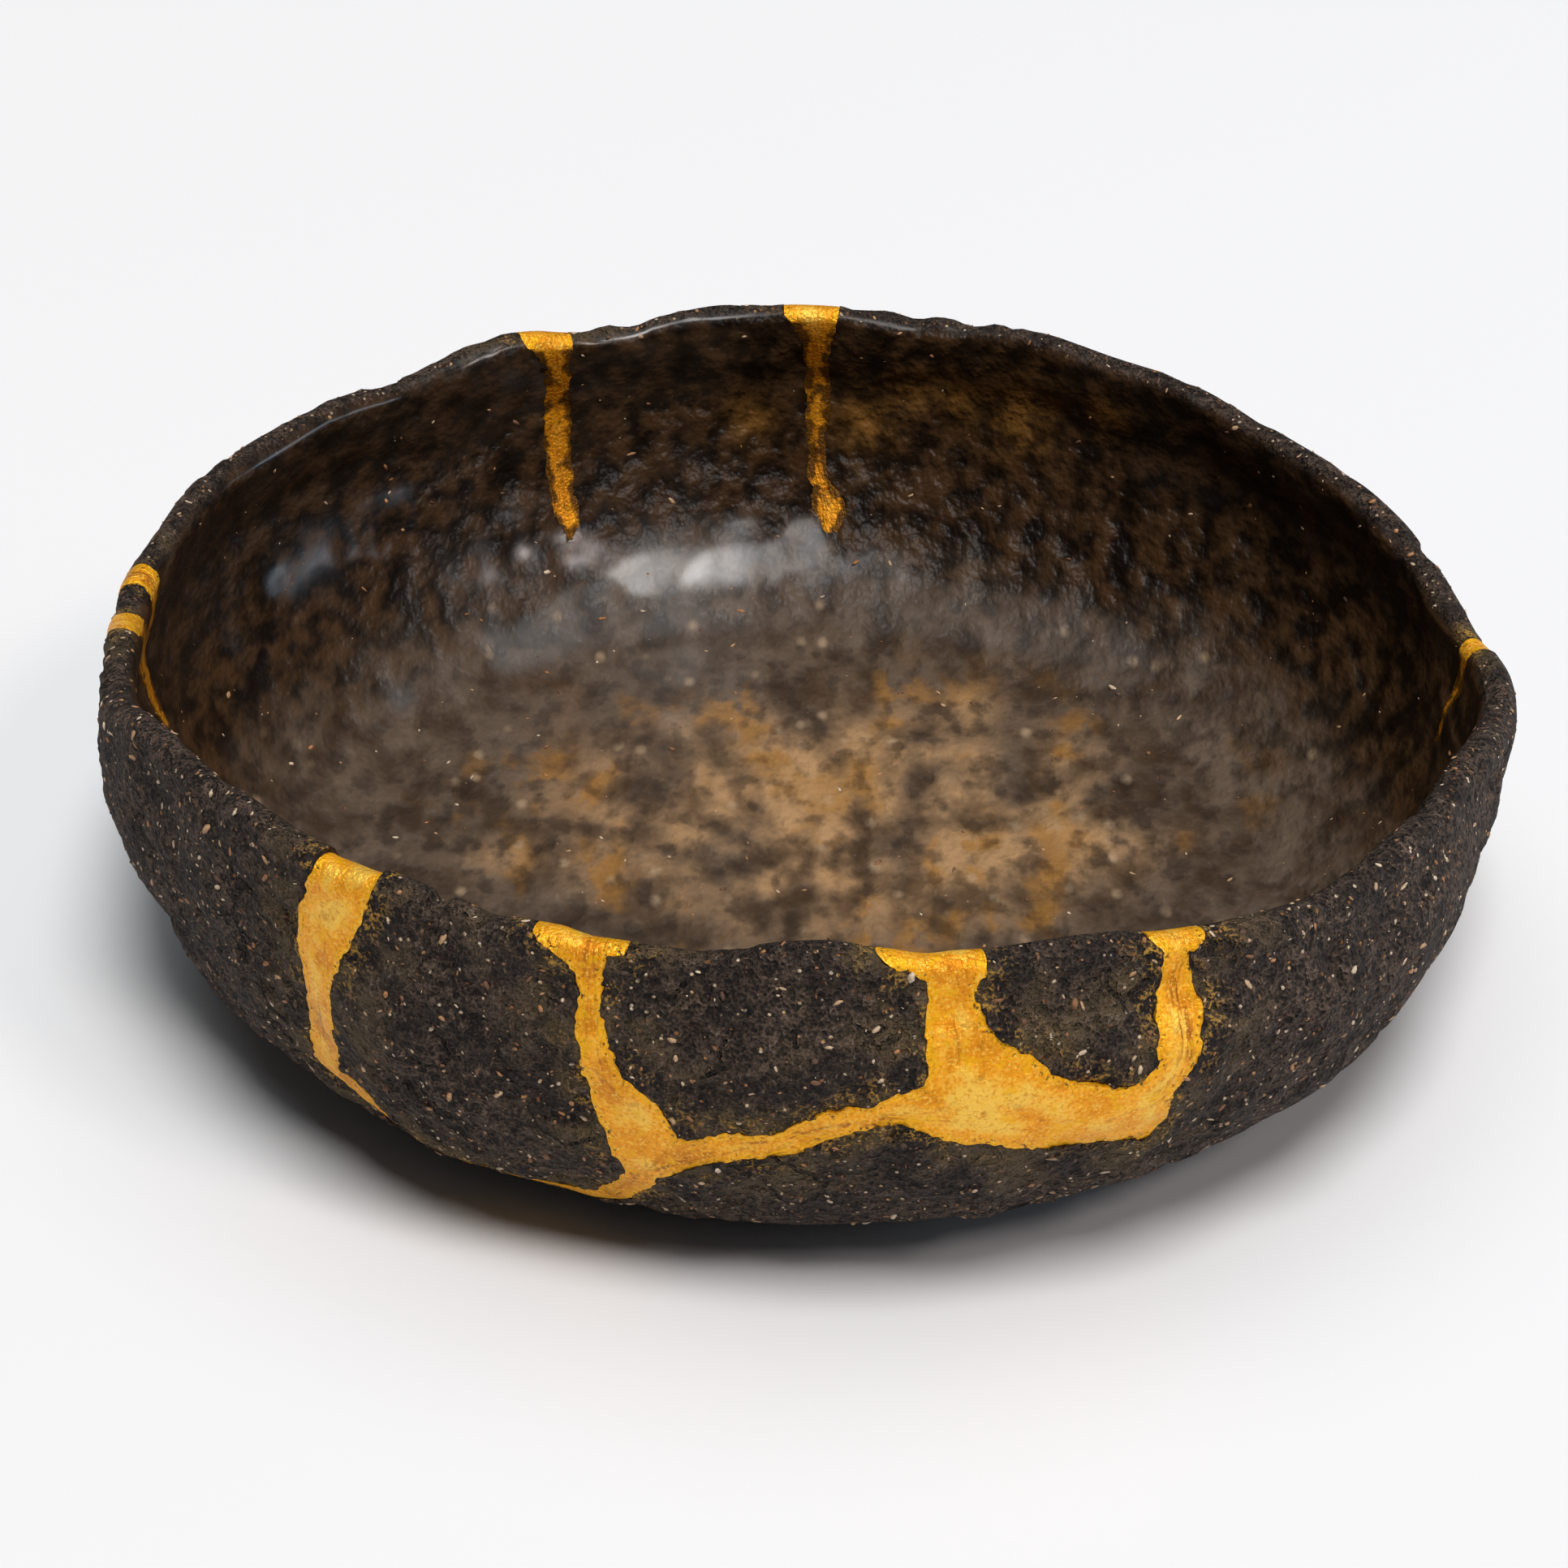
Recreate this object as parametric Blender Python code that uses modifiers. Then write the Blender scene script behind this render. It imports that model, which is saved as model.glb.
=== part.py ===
"""Hand-pinched black clay bowl whose broken sherds are joined with gold lacquer.

Metres, +Z up. The flat foot rests on z = 0, the outline is centred on the origin, and -Y is the
side where most of the sherds are joined. Angles round the bowl are in degrees from +X.
"""

import math

import bmesh
import bpy

MM = 0.001

# Driving dimensions of the round blank, before it is pinched out of true
FOOT_RADIUS = 63.0 * MM
GIRTH_RADIUS = 98.5 * MM
GIRTH_HEIGHT = 37.5 * MM
RIM_RADIUS = 94.5 * MM
RIM_HEIGHT = 50.5 * MM
WALL = 5.5 * MM
FLOOR = 8.0 * MM
BELLY_POWER = 1.08

# Height above which the wall follows the rim up and down
LIFTED_FROM = 12.0 * MM

# Where the bowl's turning axis stands, so that the finished outline is centred on the origin
AXIS_X = -1.7 * MM
AXIS_Y = -0.1 * MM

# Room left between a seam and the clay on each side of it
SEAM_CLEARANCE = 0.3 * MM

# Finger marks left in the wall and along the lip: how deep they go, how much of that shows on the
# inside of the wall, and the height above the foot by which they are at full depth
WALL_MARK = 0.9 * MM
LIP_MARK = 0.6 * MM
INNER_SHARE = 0.4
MARKED_FROM = 14.0 * MM

# How finely the blank is turned
TURN_STEPS = 80
BELLY_STEPS = 9
SHOULDER_STEPS = 3
LIP_STEPS = 5

# One step of the three lists below. A larger step makes a wilder bowl, a smaller one a rounder
SWAY_STEP = 1.0 * MM

# How far the pinching pushed the rim out, every 15 degrees from -180
RIM_SWAY = tuple(
    SWAY_STEP * v
    for v in (
        -3, -3, -3.5, -3.5, -2, -1, -0.5, 0, 1, 1, -0.5, 0,
        2, 1.5, 1, 0.5, 0.5, 0.5, 0.5, 0.5, 0.5, 0, -1, -2,
    )
)

# How far it pulled the rim up or let it sink, every 15 degrees from -180
RIM_LIFT = tuple(
    SWAY_STEP * v
    for v in (
        -1.5, 0.5, 4.5, 5.5, 5, 3.5, 4.5, 2.5, 0, -3, -3, -6,
        -10, -9.5, -5, -2, 1, 2, 3.5, 2, 2, 0.5, 0.5, -1,
    )
)

# How far it pushed the belly out, every 30 degrees from -180
BELLY_SWAY = tuple(
    SWAY_STEP * v for v in (-2.5, -5, -3, 0, 3.5, 0.5, -2, 2, 1, 1.5, 1, 0.5)
)

# Seams are drawn as seen from a point on the axis at the height of the rim: the first number is
# the angle round the bowl, the second the angle down from the level of the rim. A seam crosses
# the wall between these two distances from that point, and every outline stands above the rim
# by the headroom, to come out through the lip.
SEAM_NEAR = 58.0 * MM
SEAM_FAR = 132.0 * MM
HEADROOM = -12.0

# The seam at the front left, down its left side and back up its right side
LEFT_SEAM_DOWN = [
    (-128.0, HEADROOM), (-127.8, -2.3), (-129.8, 3.0), (-129.6, 9.0), (-131.2, 13.6), (-133.4, 19.6),
]
LEFT_SEAM_UP = [
    (-129.9, 18.6), (-128.4, 14.7), (-127.2, 10.1), (-126.4, 6.5), (-124.0, 2.3), (-122.4, -2.1),
    (-121.6, HEADROOM),
]

# The thin seam that runs on beneath the belly, out along its lower side and back along the upper
UNDER_SEAM_OUT = [(-129.5, 22.6), (-123.5, 25.6), (-117.0, 27.2), (-110.5, 27.3), (-105.6, 26.6)]
UNDER_SEAM_BACK = [(-106.4, 24.4), (-111.0, 26.2), (-117.0, 26.1), (-123.0, 24.4), (-127.5, 21.4)]

# The seam left of the middle, up its left side and down its right side
MID_SEAM_UP = [
    (-104.6, 21.6), (-102.8, 18.6), (-103.8, 14.8), (-105.0, 8.6), (-105.4, 3.4), (-105.0, 1.4),
    (-106.1, -1.2), (-109.2, -2.6), (-109.6, HEADROOM),
]
MID_SEAM_DOWN = [
    (-101.0, HEADROOM), (-101.2, -2.6), (-103.5, -1.5), (-103.7, 2.5), (-102.4, 7.9),
    (-99.8, 10.2), (-98.6, 13.5),
]

# The seam that crosses the front, along its upper side and back along its lower side
CROSS_SEAM_OUT = [
    (-94.1, 12.6), (-91.2, 12.0), (-88.0, 9.6), (-84.4, 8.3), (-80.9, 7.0),
]
CROSS_SEAM_BACK = [
    (-82.8, 9.9), (-86.4, 11.2), (-90.0, 13.9), (-93.1, 14.7), (-97.7, 16.6), (-100.4, 18.6),
    (-101.6, 21.0), (-104.0, 24.8),
]

# The seam right of the middle and the wide fill below it, round the half-round sherd
RIGHT_SEAM_UP = [(-80.7, 4.0), (-80.4, -0.6), (-83.4, -2.5), (-83.6, HEADROOM)]
HALF_ROUND_EDGE = [
    (-76.2, HEADROOM), (-76.4, -1.4), (-77.4, 1.2), (-76.2, 4.0), (-73.0, 6.5), (-70.2, 8.4),
    (-66.8, 9.2), (-64.6, 7.6), (-64.2, 4.8), (-63.0, 2.6), (-62.8, 0.6), (-64.1, -0.8),
    (-64.3, HEADROOM),
]
FILL_OUTER_EDGE = [
    (-58.0, HEADROOM), (-58.2, -0.4), (-60.9, 0.8), (-60.6, 5.0), (-61.4, 8.0), (-63.2, 10.2),
    (-63.1, 13.5), (-64.2, 15.2), (-68.5, 14.4), (-72.1, 14.0), (-76.5, 12.8), (-79.6, 11.9),
]

FRONT_SEAM = (
    LEFT_SEAM_DOWN
    + UNDER_SEAM_OUT
    + CROSS_SEAM_BACK[::-1]
    + FILL_OUTER_EDGE[::-1]
    + HALF_ROUND_EDGE[::-1]
    + RIGHT_SEAM_UP[::-1]
    + CROSS_SEAM_OUT[::-1]
    + MID_SEAM_DOWN[::-1]
    + MID_SEAM_UP[::-1]
    + UNDER_SEAM_BACK
    + LEFT_SEAM_UP
)

# The forked seam at the left, which holds a small wedge of rim between its two arms
SIDE_FORK_SEAM = [
    (169.6, HEADROOM), (169.9, 0.0), (171.6, 6.0), (172.2, 10.0), (172.8, 15.5), (174.2, 15.9),
    (174.8, 11.0), (176.4, 7.0), (180.6, 3.0), (182.9, 0.0), (183.1, HEADROOM), (179.8, HEADROOM),
    (179.6, 0.4), (177.4, 3.0), (174.9, 4.8), (173.6, 3.6), (172.7, 0.0), (172.5, HEADROOM),
]

# The short seams at the right and across the back end part of the way down the wall
RIGHT_RIM_SEAM = [
    (5.4, HEADROOM), (5.5, 4.0), (4.4, 7.0), (3.2, 10.0), (2.8, 14.6), (4.0, 15.2),
    (4.8, 10.5), (6.4, 7.4), (7.8, 4.6), (8.0, HEADROOM),
]
BACK_LEFT_SEAM = [
    (110.9, HEADROOM), (111.1, -1.0), (111.8, 2.0), (111.4, 7.0), (111.7, 12.5), (111.9, 18.0),
    (113.0, 19.0), (114.2, 16.5), (114.0, 12.5), (113.8, 7.0), (113.7, 2.0), (116.0, -0.8),
    (116.4, HEADROOM),
]
BACK_MIDDLE_SEAM = [
    (85.2, HEADROOM), (85.4, -1.6), (86.4, 1.8), (86.4, 8.5), (86.9, 12.8), (86.2, 15.0),
    (84.4, 17.8), (85.0, 20.4), (86.6, 20.0), (87.6, 18.0), (88.3, 14.5), (88.1, 12.8),
    (88.4, 8.5), (88.6, 1.9), (90.5, -1.6), (90.8, HEADROOM),
]

SEAMS = {
    "gold_seam_front": FRONT_SEAM,
    "gold_seam_left": SIDE_FORK_SEAM,
    "gold_seam_right": RIGHT_RIM_SEAM,
    "gold_seam_back_left": BACK_LEFT_SEAM,
    "gold_seam_back_centre": BACK_MIDDLE_SEAM,
}

# A sherd is the loose piece of clay whose middle lies nearest this angle and angle down
SHERDS = {
    "sherd_front_left": (-115.0, 12.0),
    "sherd_front_centre": (-91.0, 4.0),
    "sherd_front_right": (-70.0, 3.0),
    "sherd_left_rim": (176.8, 1.0),
}

CLAY = ((0.030, 0.026, 0.023), 0.78, 0.0)
LACQUER = ((0.78, 0.42, 0.07), 0.36, 0.35)


def clear_scene():
    for obj in list(bpy.data.objects):
        bpy.data.objects.remove(obj, do_unlink=True)
    for collection in list(bpy.data.collections):
        bpy.data.collections.remove(collection)


def new_collection(name, hidden=False):
    collection = bpy.data.collections.new(name)
    collection.hide_render = hidden
    bpy.context.scene.collection.children.link(collection)
    return collection


def material(name, look):
    colour, roughness, metallic = look
    made = bpy.data.materials.new(name)
    made.use_nodes = True
    shader = made.node_tree.nodes["Principled BSDF"]
    shader.inputs["Base Color"].default_value = (*colour, 1.0)
    shader.inputs["Roughness"].default_value = roughness
    shader.inputs["Metallic"].default_value = metallic
    made.diffuse_color = (*colour, 1.0)
    return made


def around(values, angle):
    """The smooth closed curve through evenly spaced values that start at -180 degrees."""
    count = len(values)
    place = ((angle + 180.0) % 360.0) / 360.0 * count
    i = int(math.floor(place))
    f = place - i
    a, b, c, d = (values[(i + k) % count] for k in (-1, 0, 1, 2))
    bend = (2 * a - 5 * b + 4 * c - d) * f + (3 * b - a - 3 * c + d) * f * f
    return 0.5 * (2 * b + (c - a) * f + bend * f)


def finger_marks(angle, height):
    """How far the fingers pushed the wall in or out at a place on it, from -1 to 1."""
    turn = math.radians(angle)
    up = height / GIRTH_HEIGHT
    return (
        math.sin(9 * turn + 2.4 * up)
        + 0.8 * math.sin(14 * turn - 3.6 * up + 1.3)
        + 0.6 * math.sin(19 * turn + 4.8 * up + 0.4)
    ) / 2.4


def lip_marks(angle):
    """How far the fingers pulled the lip up or down at an angle, from -1 to 1."""
    turn = math.radians(angle)
    return (math.sin(16 * turn + 0.5) + 0.8 * math.sin(21 * turn + 2.0)) / 1.8


def lift_share(height):
    """How much of the rim's rise or fall the wall follows at a height on the round blank."""
    top = RIM_HEIGHT - WALL / 2
    return min(max((height - LIFTED_FROM) / (top - LIFTED_FROM), 0.0), 1.0)


def blank_profile():
    """Points of the round blank from the middle of its floor, over the lip, to the middle of its
    foot, each with the shares in which it follows the belly's sway, the rim's sway, the rim's lift
    and the finger marks: (radius, height, belly, rim, lift, mark)."""
    lip = WALL / 2
    shoulder_top = RIM_HEIGHT - lip
    outer = []
    for k in range(BELLY_STEPS + 1):
        angle = math.pi / 2 * k / BELLY_STEPS
        out = math.sin(angle)
        radius = FOOT_RADIUS + (GIRTH_RADIUS - FOOT_RADIUS) * out
        height = GIRTH_HEIGHT * (1 - math.cos(angle) ** BELLY_POWER)
        mark = min(height / MARKED_FROM, 1.0)
        outer.append((radius, height, out, 0.0, lift_share(height), mark))
    for k in range(1, SHOULDER_STEPS + 1):
        up = k / SHOULDER_STEPS
        inward = up * up * (3 - 2 * up)
        radius = GIRTH_RADIUS + (RIM_RADIUS + lip - GIRTH_RADIUS) * inward
        height = GIRTH_HEIGHT + (shoulder_top - GIRTH_HEIGHT) * up
        outer.append((radius, height, 1 - inward, inward, lift_share(height), 1.0))
    inner = []
    for k, (radius, height, belly, rim, _, mark) in enumerate(outer[:-1]):
        before = outer[max(k - 1, 0)]
        after = outer[k + 1]
        along = (after[0] - before[0], after[1] - before[1])
        length = math.hypot(*along)
        share = min(height / GIRTH_HEIGHT, 1.0) ** 0.7
        thick = FLOOR + (WALL - FLOOR) * share
        within = height + along[0] / length * thick
        inner.append((
            radius - along[1] / length * thick,
            within,
            belly, rim, lift_share(within), mark * INNER_SHARE,
        ))
    inner.append((RIM_RADIUS - lip, shoulder_top, 0.0, 1.0, 1.0, INNER_SHARE))
    over = []
    for k in range(1, LIP_STEPS):
        angle = math.pi * (1 - k / LIP_STEPS)
        over.append((
            RIM_RADIUS + lip * math.cos(angle),
            shoulder_top + lip * math.sin(angle),
            0.0, 1.0, 1.0, INNER_SHARE + (1 - INNER_SHARE) * k / LIP_STEPS,
        ))
    still = (0.0, 0.0, 0.0, 0.0)
    middle_in = [(0.0, FLOOR, *still), (FOOT_RADIUS / 2, FLOOR, *still)]
    middle_out = [(FOOT_RADIUS / 2, 0.0, *still), (0.0, 0.0, *still)]
    return middle_in + inner + over + outer[::-1] + middle_out


def settled(obj):
    """The object's shape with its modifiers, as a mesh of its own."""
    graph = bpy.context.evaluated_depsgraph_get()
    return bpy.data.meshes.new_from_object(obj.evaluated_get(graph))


def turned_blank(profile, collection):
    """The round bowl, turned from its profile."""
    mesh = bpy.data.meshes.new("blank")
    points = [(p[0], 0.0, p[1]) for p in profile]
    mesh.from_pydata(points, [(k, k + 1) for k in range(len(points) - 1)], [])
    obj = bpy.data.objects.new("blank", mesh)
    collection.objects.link(obj)
    turn = obj.modifiers.new("turn", "SCREW")
    turn.axis = "Z"
    turn.angle = math.tau
    turn.steps = TURN_STEPS
    turn.render_steps = TURN_STEPS
    turn.use_merge_vertices = True
    turn.merge_threshold = 0.00001
    obj.data = settled(obj)
    obj.modifiers.clear()
    return obj


def pinch(obj, profile):
    """Pushes the round bowl out of true, the inside of the wall with the outside."""
    for vert in obj.data.vertices:
        x, y, z = vert.co
        radius = math.hypot(x, y)
        nearest = min(profile, key=lambda p: (p[0] - radius) ** 2 + (p[1] - z) ** 2)
        belly, rim, lift, mark = nearest[2:]
        angle = math.degrees(math.atan2(y, x))
        pushed = radius + belly * around(BELLY_SWAY, angle) + rim * around(RIM_SWAY, angle)
        pushed += mark * WALL_MARK * finger_marks(angle, z)
        raised = z + lift * (around(RIM_LIFT, angle) + LIP_MARK * lip_marks(angle))
        turn = math.radians(angle)
        vert.co = (
            pushed * math.cos(turn) + AXIS_X,
            pushed * math.sin(turn) + AXIS_Y,
            raised,
        )


def from_rim_centre(angle, down, distance):
    """The point at a distance from the middle of the rim, at an angle round and an angle down."""
    turn = math.radians(angle)
    drop = math.radians(down)
    level = distance * math.cos(drop)
    return (
        AXIS_X + level * math.cos(turn),
        AXIS_Y + level * math.sin(turn),
        RIM_HEIGHT - distance * math.sin(drop),
    )


def grown(outline, by):
    """The outline with each side moved out by a number of degrees."""
    count = len(outline)
    area = sum(
        outline[k][0] * outline[(k + 1) % count][1] - outline[(k + 1) % count][0] * outline[k][1]
        for k in range(count)
    )
    side = math.copysign(1.0, area)
    moved = []
    for k in range(count):
        normals = []
        for a, b in ((outline[k - 1], outline[k]), (outline[k], outline[(k + 1) % count])):
            dx, dy = b[0] - a[0], b[1] - a[1]
            length = math.hypot(dx, dy)
            normals.append((side * dy / length, -side * dx / length))
        nx = normals[0][0] + normals[1][0]
        ny = normals[0][1] + normals[1][1]
        size = max((nx * nx + ny * ny) / 2, 0.4)
        moved.append((outline[k][0] + by * nx / size, outline[k][1] + by * ny / size))
    return moved


def seam_cutter(name, outline, collection):
    """The outline carried straight out from the middle of the rim, as one closed solid."""
    curve = bpy.data.curves.new(name, "CURVE")
    curve.dimensions = "2D"
    curve.fill_mode = "BOTH"
    curve.extrude = 0.5
    spline = curve.splines.new("POLY")
    spline.points.add(len(outline) - 1)
    for point, (angle, down) in zip(spline.points, outline):
        point.co = (angle, down, 0.0, 1.0)
    spline.use_cyclic_u = True
    flat = bpy.data.objects.new(name, curve)
    collection.objects.link(flat)
    mesh = settled(flat)
    bpy.data.objects.remove(flat)
    shape = bmesh.new()
    shape.from_mesh(mesh)
    bmesh.ops.remove_doubles(shape, verts=shape.verts, dist=0.001)
    for vert in shape.verts:
        distance = SEAM_FAR if vert.co.z > 0 else SEAM_NEAR
        vert.co = from_rim_centre(vert.co.x, vert.co.y, distance)
    bmesh.ops.recalc_face_normals(shape, faces=shape.faces)
    if shape.calc_volume(signed=True) < 0:
        bmesh.ops.reverse_faces(shape, faces=shape.faces)
    shape.to_mesh(mesh)
    shape.free()
    cutter = bpy.data.objects.new(name, mesh)
    cutter.display_type = "WIRE"
    cutter.hide_render = True
    collection.objects.link(cutter)
    return cutter


def shade(mesh):
    mesh.shade_smooth()
    mesh.set_sharp_from_angle(angle=math.radians(38))


def add_part(name, mesh, look, collection):
    shade(mesh)
    mesh.materials.clear()
    mesh.materials.append(material(name, look))
    part = bpy.data.objects.new(name, mesh)
    collection.objects.link(part)
    return part


def with_boolean(blank, cutters, operation):
    """The blank's mesh after a Boolean with each cutter in turn."""
    for cutter in cutters:
        step = blank.modifiers.new(cutter.name, "BOOLEAN")
        step.operation = operation
        step.object = cutter
        step.solver = "EXACT"
    mesh = settled(blank)
    blank.modifiers.clear()
    return mesh


def loose_pieces(mesh):
    """Each loose piece of the mesh as a mesh of its own, with the middle of its corners."""
    shape = bmesh.new()
    shape.from_mesh(mesh)
    shape.verts.ensure_lookup_table()
    group = {}
    for start in shape.verts:
        if start in group:
            continue
        label = len(set(group.values()))
        group[start] = label
        queue = [start]
        while queue:
            for edge in queue.pop().link_edges:
                for vert in edge.verts:
                    if vert not in group:
                        group[vert] = label
                        queue.append(vert)
    labels = {vert.index: label for vert, label in group.items()}
    shape.free()
    pieces = []
    for label in sorted(set(labels.values())):
        piece = bmesh.new()
        piece.from_mesh(mesh)
        piece.verts.ensure_lookup_table()
        others = [vert for vert in piece.verts if labels[vert.index] != label]
        bmesh.ops.delete(piece, geom=others, context="VERTS")
        middle = [sum(vert.co[k] for vert in piece.verts) / len(piece.verts) for k in range(3)]
        made = bpy.data.meshes.new("piece")
        piece.to_mesh(made)
        piece.free()
        pieces.append((middle, made))
    return pieces


def main():
    clear_scene()
    parts = new_collection("repaired_bowl")
    cutters = new_collection("cutters", hidden=True)

    profile = blank_profile()
    blank = turned_blank(profile, cutters)
    pinch(blank, profile)
    blank.display_type = "WIRE"
    blank.hide_render = True

    for name, outline in SEAMS.items():
        cutter = seam_cutter(name + "_cutter", outline, cutters)
        add_part(name, with_boolean(blank, [cutter], "INTERSECT"), LACQUER, parts)

    reach = math.degrees(SEAM_CLEARANCE / GIRTH_RADIUS)
    wide = [
        seam_cutter(name + "_room", grown(outline, reach), cutters)
        for name, outline in SEAMS.items()
    ]
    clay = loose_pieces(with_boolean(blank, wide, "DIFFERENCE"))
    clay.sort(key=lambda item: len(item[1].vertices))
    add_part("bowl_body", clay.pop()[1], CLAY, parts)
    for name, (angle, down) in SHERDS.items():
        centre = from_rim_centre(angle, down, GIRTH_RADIUS)
        nearest = min(clay, key=lambda item: math.dist(item[0], centre))
        clay.remove(nearest)
        add_part(name, nearest[1], CLAY, parts)


main()
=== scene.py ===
"""Hand-pinched black clay bowl whose broken sherds are joined with gold lacquer.

Metres, +Z up, foot on z = 0. Angles round the bowl are in degrees from +X, and -Y is the side
where most of the sherds are joined. The clay and the lacquer are cut from fine skins of the same
pinched form: grainy ones for the clay and a smooth one for the lacquer.
"""

import logging
import math
from collections.abc import Callable
from dataclasses import dataclass, field
from enum import Enum

import bpy
import numpy as np
from bpy.types import Light, Material, Mesh, Node, NodeSocket, NodeTree, Object
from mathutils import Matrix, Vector
from mathutils.kdtree import KDTree

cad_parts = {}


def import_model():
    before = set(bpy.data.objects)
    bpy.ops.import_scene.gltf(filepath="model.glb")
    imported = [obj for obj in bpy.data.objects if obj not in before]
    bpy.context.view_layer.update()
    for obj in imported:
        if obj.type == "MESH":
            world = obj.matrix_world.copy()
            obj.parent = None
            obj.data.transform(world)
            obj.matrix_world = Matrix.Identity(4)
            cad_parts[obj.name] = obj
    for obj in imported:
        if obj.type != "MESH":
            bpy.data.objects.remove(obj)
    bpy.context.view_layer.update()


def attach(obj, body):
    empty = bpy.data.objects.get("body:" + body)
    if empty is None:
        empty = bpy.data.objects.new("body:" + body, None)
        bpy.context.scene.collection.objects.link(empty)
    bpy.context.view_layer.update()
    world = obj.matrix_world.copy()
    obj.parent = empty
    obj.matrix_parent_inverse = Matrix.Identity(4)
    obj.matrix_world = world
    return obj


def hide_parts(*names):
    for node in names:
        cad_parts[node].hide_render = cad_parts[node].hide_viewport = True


logging.basicConfig(level=logging.INFO, format="%(message)s")
log = logging.getLogger("bowl")

MM = 0.001
HEADROOM = -12.0
RADIUS, HEIGHT, BELLY, RIM, LIFT, MARK, INSIDE, ROUGH = range(8)

Colour = tuple[float, float, float]
Place = tuple[float, float, float]
Outline = list[tuple[float, float]]
Shape = tuple[np.ndarray, np.ndarray]


class Cut(Enum):
    """What a seam's blade does to a skin."""

    KEEP_INSIDE = "INTERSECT"
    TAKE_AWAY = "DIFFERENCE"


class Slot(Enum):
    """Names of the clay's and the lacquer's material slots."""

    CLAY = "dark_clay"
    LACQUER = "gold_lacquer"


@dataclass(frozen=True)
class BlankSizes:
    """Sizes of the round blank before it is pinched, in metres."""

    foot_radius: float = 63.0 * MM
    girth_radius: float = 98.5 * MM
    girth_height: float = 37.5 * MM
    rim_radius: float = 94.5 * MM
    rim_height: float = 50.5 * MM
    wall: float = 5.5 * MM
    floor: float = 8.0 * MM
    belly_power: float = 1.08
    thinning_power: float = 0.7
    lifted_from: float = 12.0 * MM
    rough_from: float = 3.0 * MM
    axis_x: float = -1.7 * MM
    axis_y: float = -0.1 * MM
    wall_mark: float = 0.9 * MM
    lip_mark: float = 0.6 * MM
    inner_share: float = 0.4
    marked_from: float = 14.0 * MM

    @property
    def lip(self) -> float:
        """Radius of the round lip."""
        return self.wall / 2

    @property
    def top(self) -> float:
        """Height at which the round lip starts."""
        return self.rim_height - self.wall / 2


@dataclass(frozen=True)
class Pinching:
    """How far the fingers pushed the blank out of true.

    The sways and the lift are in steps, evenly spaced round the bowl from -180 degrees. Each wave
    is its strength, its count round the bowl, its lean up the wall and its start in radians.
    """

    step: float = 1.0 * MM
    rim_sway: tuple[float, ...] = (
        -3, -3, -3.5, -3.5, -2, -1, -0.5, 0, 1, 1, -0.5, 0,
        2, 1.5, 1, 0.5, 0.5, 0.5, 0.5, 0.5, 0.5, 0, -1, -2,
    )
    rim_lift: tuple[float, ...] = (
        -1.5, 0.5, 4.5, 5.5, 5, 3.5, 4.5, 2.5, 0, -3, -3, -6,
        -10, -9.5, -5, -2, 1, 2, 3.5, 2, 2, 0.5, 0.5, -1,
    )
    belly_sway: tuple[float, ...] = (-2.5, -5, -3, 0, 3.5, 0.5, -2, 2, 1, 1.5, 1, 0.5)
    finger_waves: tuple[tuple[float, ...], ...] = (
        (1.0, 9, 2.4, 0.0), (0.8, 14, -3.6, 1.3), (0.6, 19, 4.8, 0.4),
    )
    finger_reach: float = 2.4
    lip_waves: tuple[tuple[float, ...], ...] = ((1.0, 16, 0.0, 0.5), (0.8, 21, 0.0, 2.0))
    lip_reach: float = 1.8


@dataclass(frozen=True)
class Relief:
    """How rough a skin is: heights in metres, each with the width of its bumps.

    A dent is its angle and half width in degrees and its depth. One with a depth below nothing
    draws the lip up. The lip's and the dents' reach start that far below the rim and fade in.
    """

    sunk: float = 0.50 * MM
    most_share: float = 0.8
    lumps: float = 0.85 * MM
    lump_width: float = 11.0 * MM
    knobs: float = 0.70 * MM
    knob_width: float = 4.4 * MM
    grain: float = 0.30 * MM
    grain_width: float = 1.8 * MM
    crumbs: float = 0.22 * MM
    crumb_width: float = 1.0 * MM
    pits: float = 0.55 * MM
    pit_width: float = 3.4 * MM
    pit_from: float = 0.5
    pit_slope: float = 0.3
    within: float = 0.55
    worn_floor: float = 0.85
    lip_share: float = 0.62
    lip_from: float = 6.0 * MM
    lip_fade: float = 4.0 * MM
    dented_from: float = 7.0 * MM
    dent_fade: float = 5.0 * MM
    dents: tuple[tuple[float, float, float], ...] = (
        (-117.2, 0.8, 1.3 * MM), (-112.5, 1.6, 0.5 * MM), (-82.0, 34.0, -0.55 * MM),
    )


CLAY_RELIEF = Relief()
LACQUER_RELIEF = Relief(
    knobs=0.30 * MM, grain=0.05 * MM, grain_width=2.6 * MM, crumbs=0.0, pits=0.0,
    dents=((-125.5, 4.0, 1.0 * MM), (-82.0, 34.0, -0.55 * MM)),
)


@dataclass(frozen=True)
class Fineness:
    """How finely a skin is meshed: counts of rows up its section and steps in degrees round it."""

    belly: int = 62
    shoulder: int = 16
    lip: int = 14
    inner_belly: int = 34
    inner_shoulder: int = 11
    floor: int = 26
    foot: int = 12
    fine_from: float = -176.0
    fine_to: float = -6.0
    fine_step: float = 0.52
    coarse_step: float = 0.95


BODY_MESH = Fineness()
SHERD_MESH = Fineness(
    belly=104, shoulder=28, lip=18, inner_belly=30, inner_shoulder=10, floor=10, foot=4,
    fine_from=-133.0, fine_to=-57.0, fine_step=0.27, coarse_step=3.0,
)
LACQUER_MESH = Fineness(
    belly=96, shoulder=26, lip=18, inner_belly=44, inner_shoulder=14, floor=10, foot=4,
    fine_from=-134.0, fine_to=-56.0, fine_step=0.27, coarse_step=0.5,
)


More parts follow.
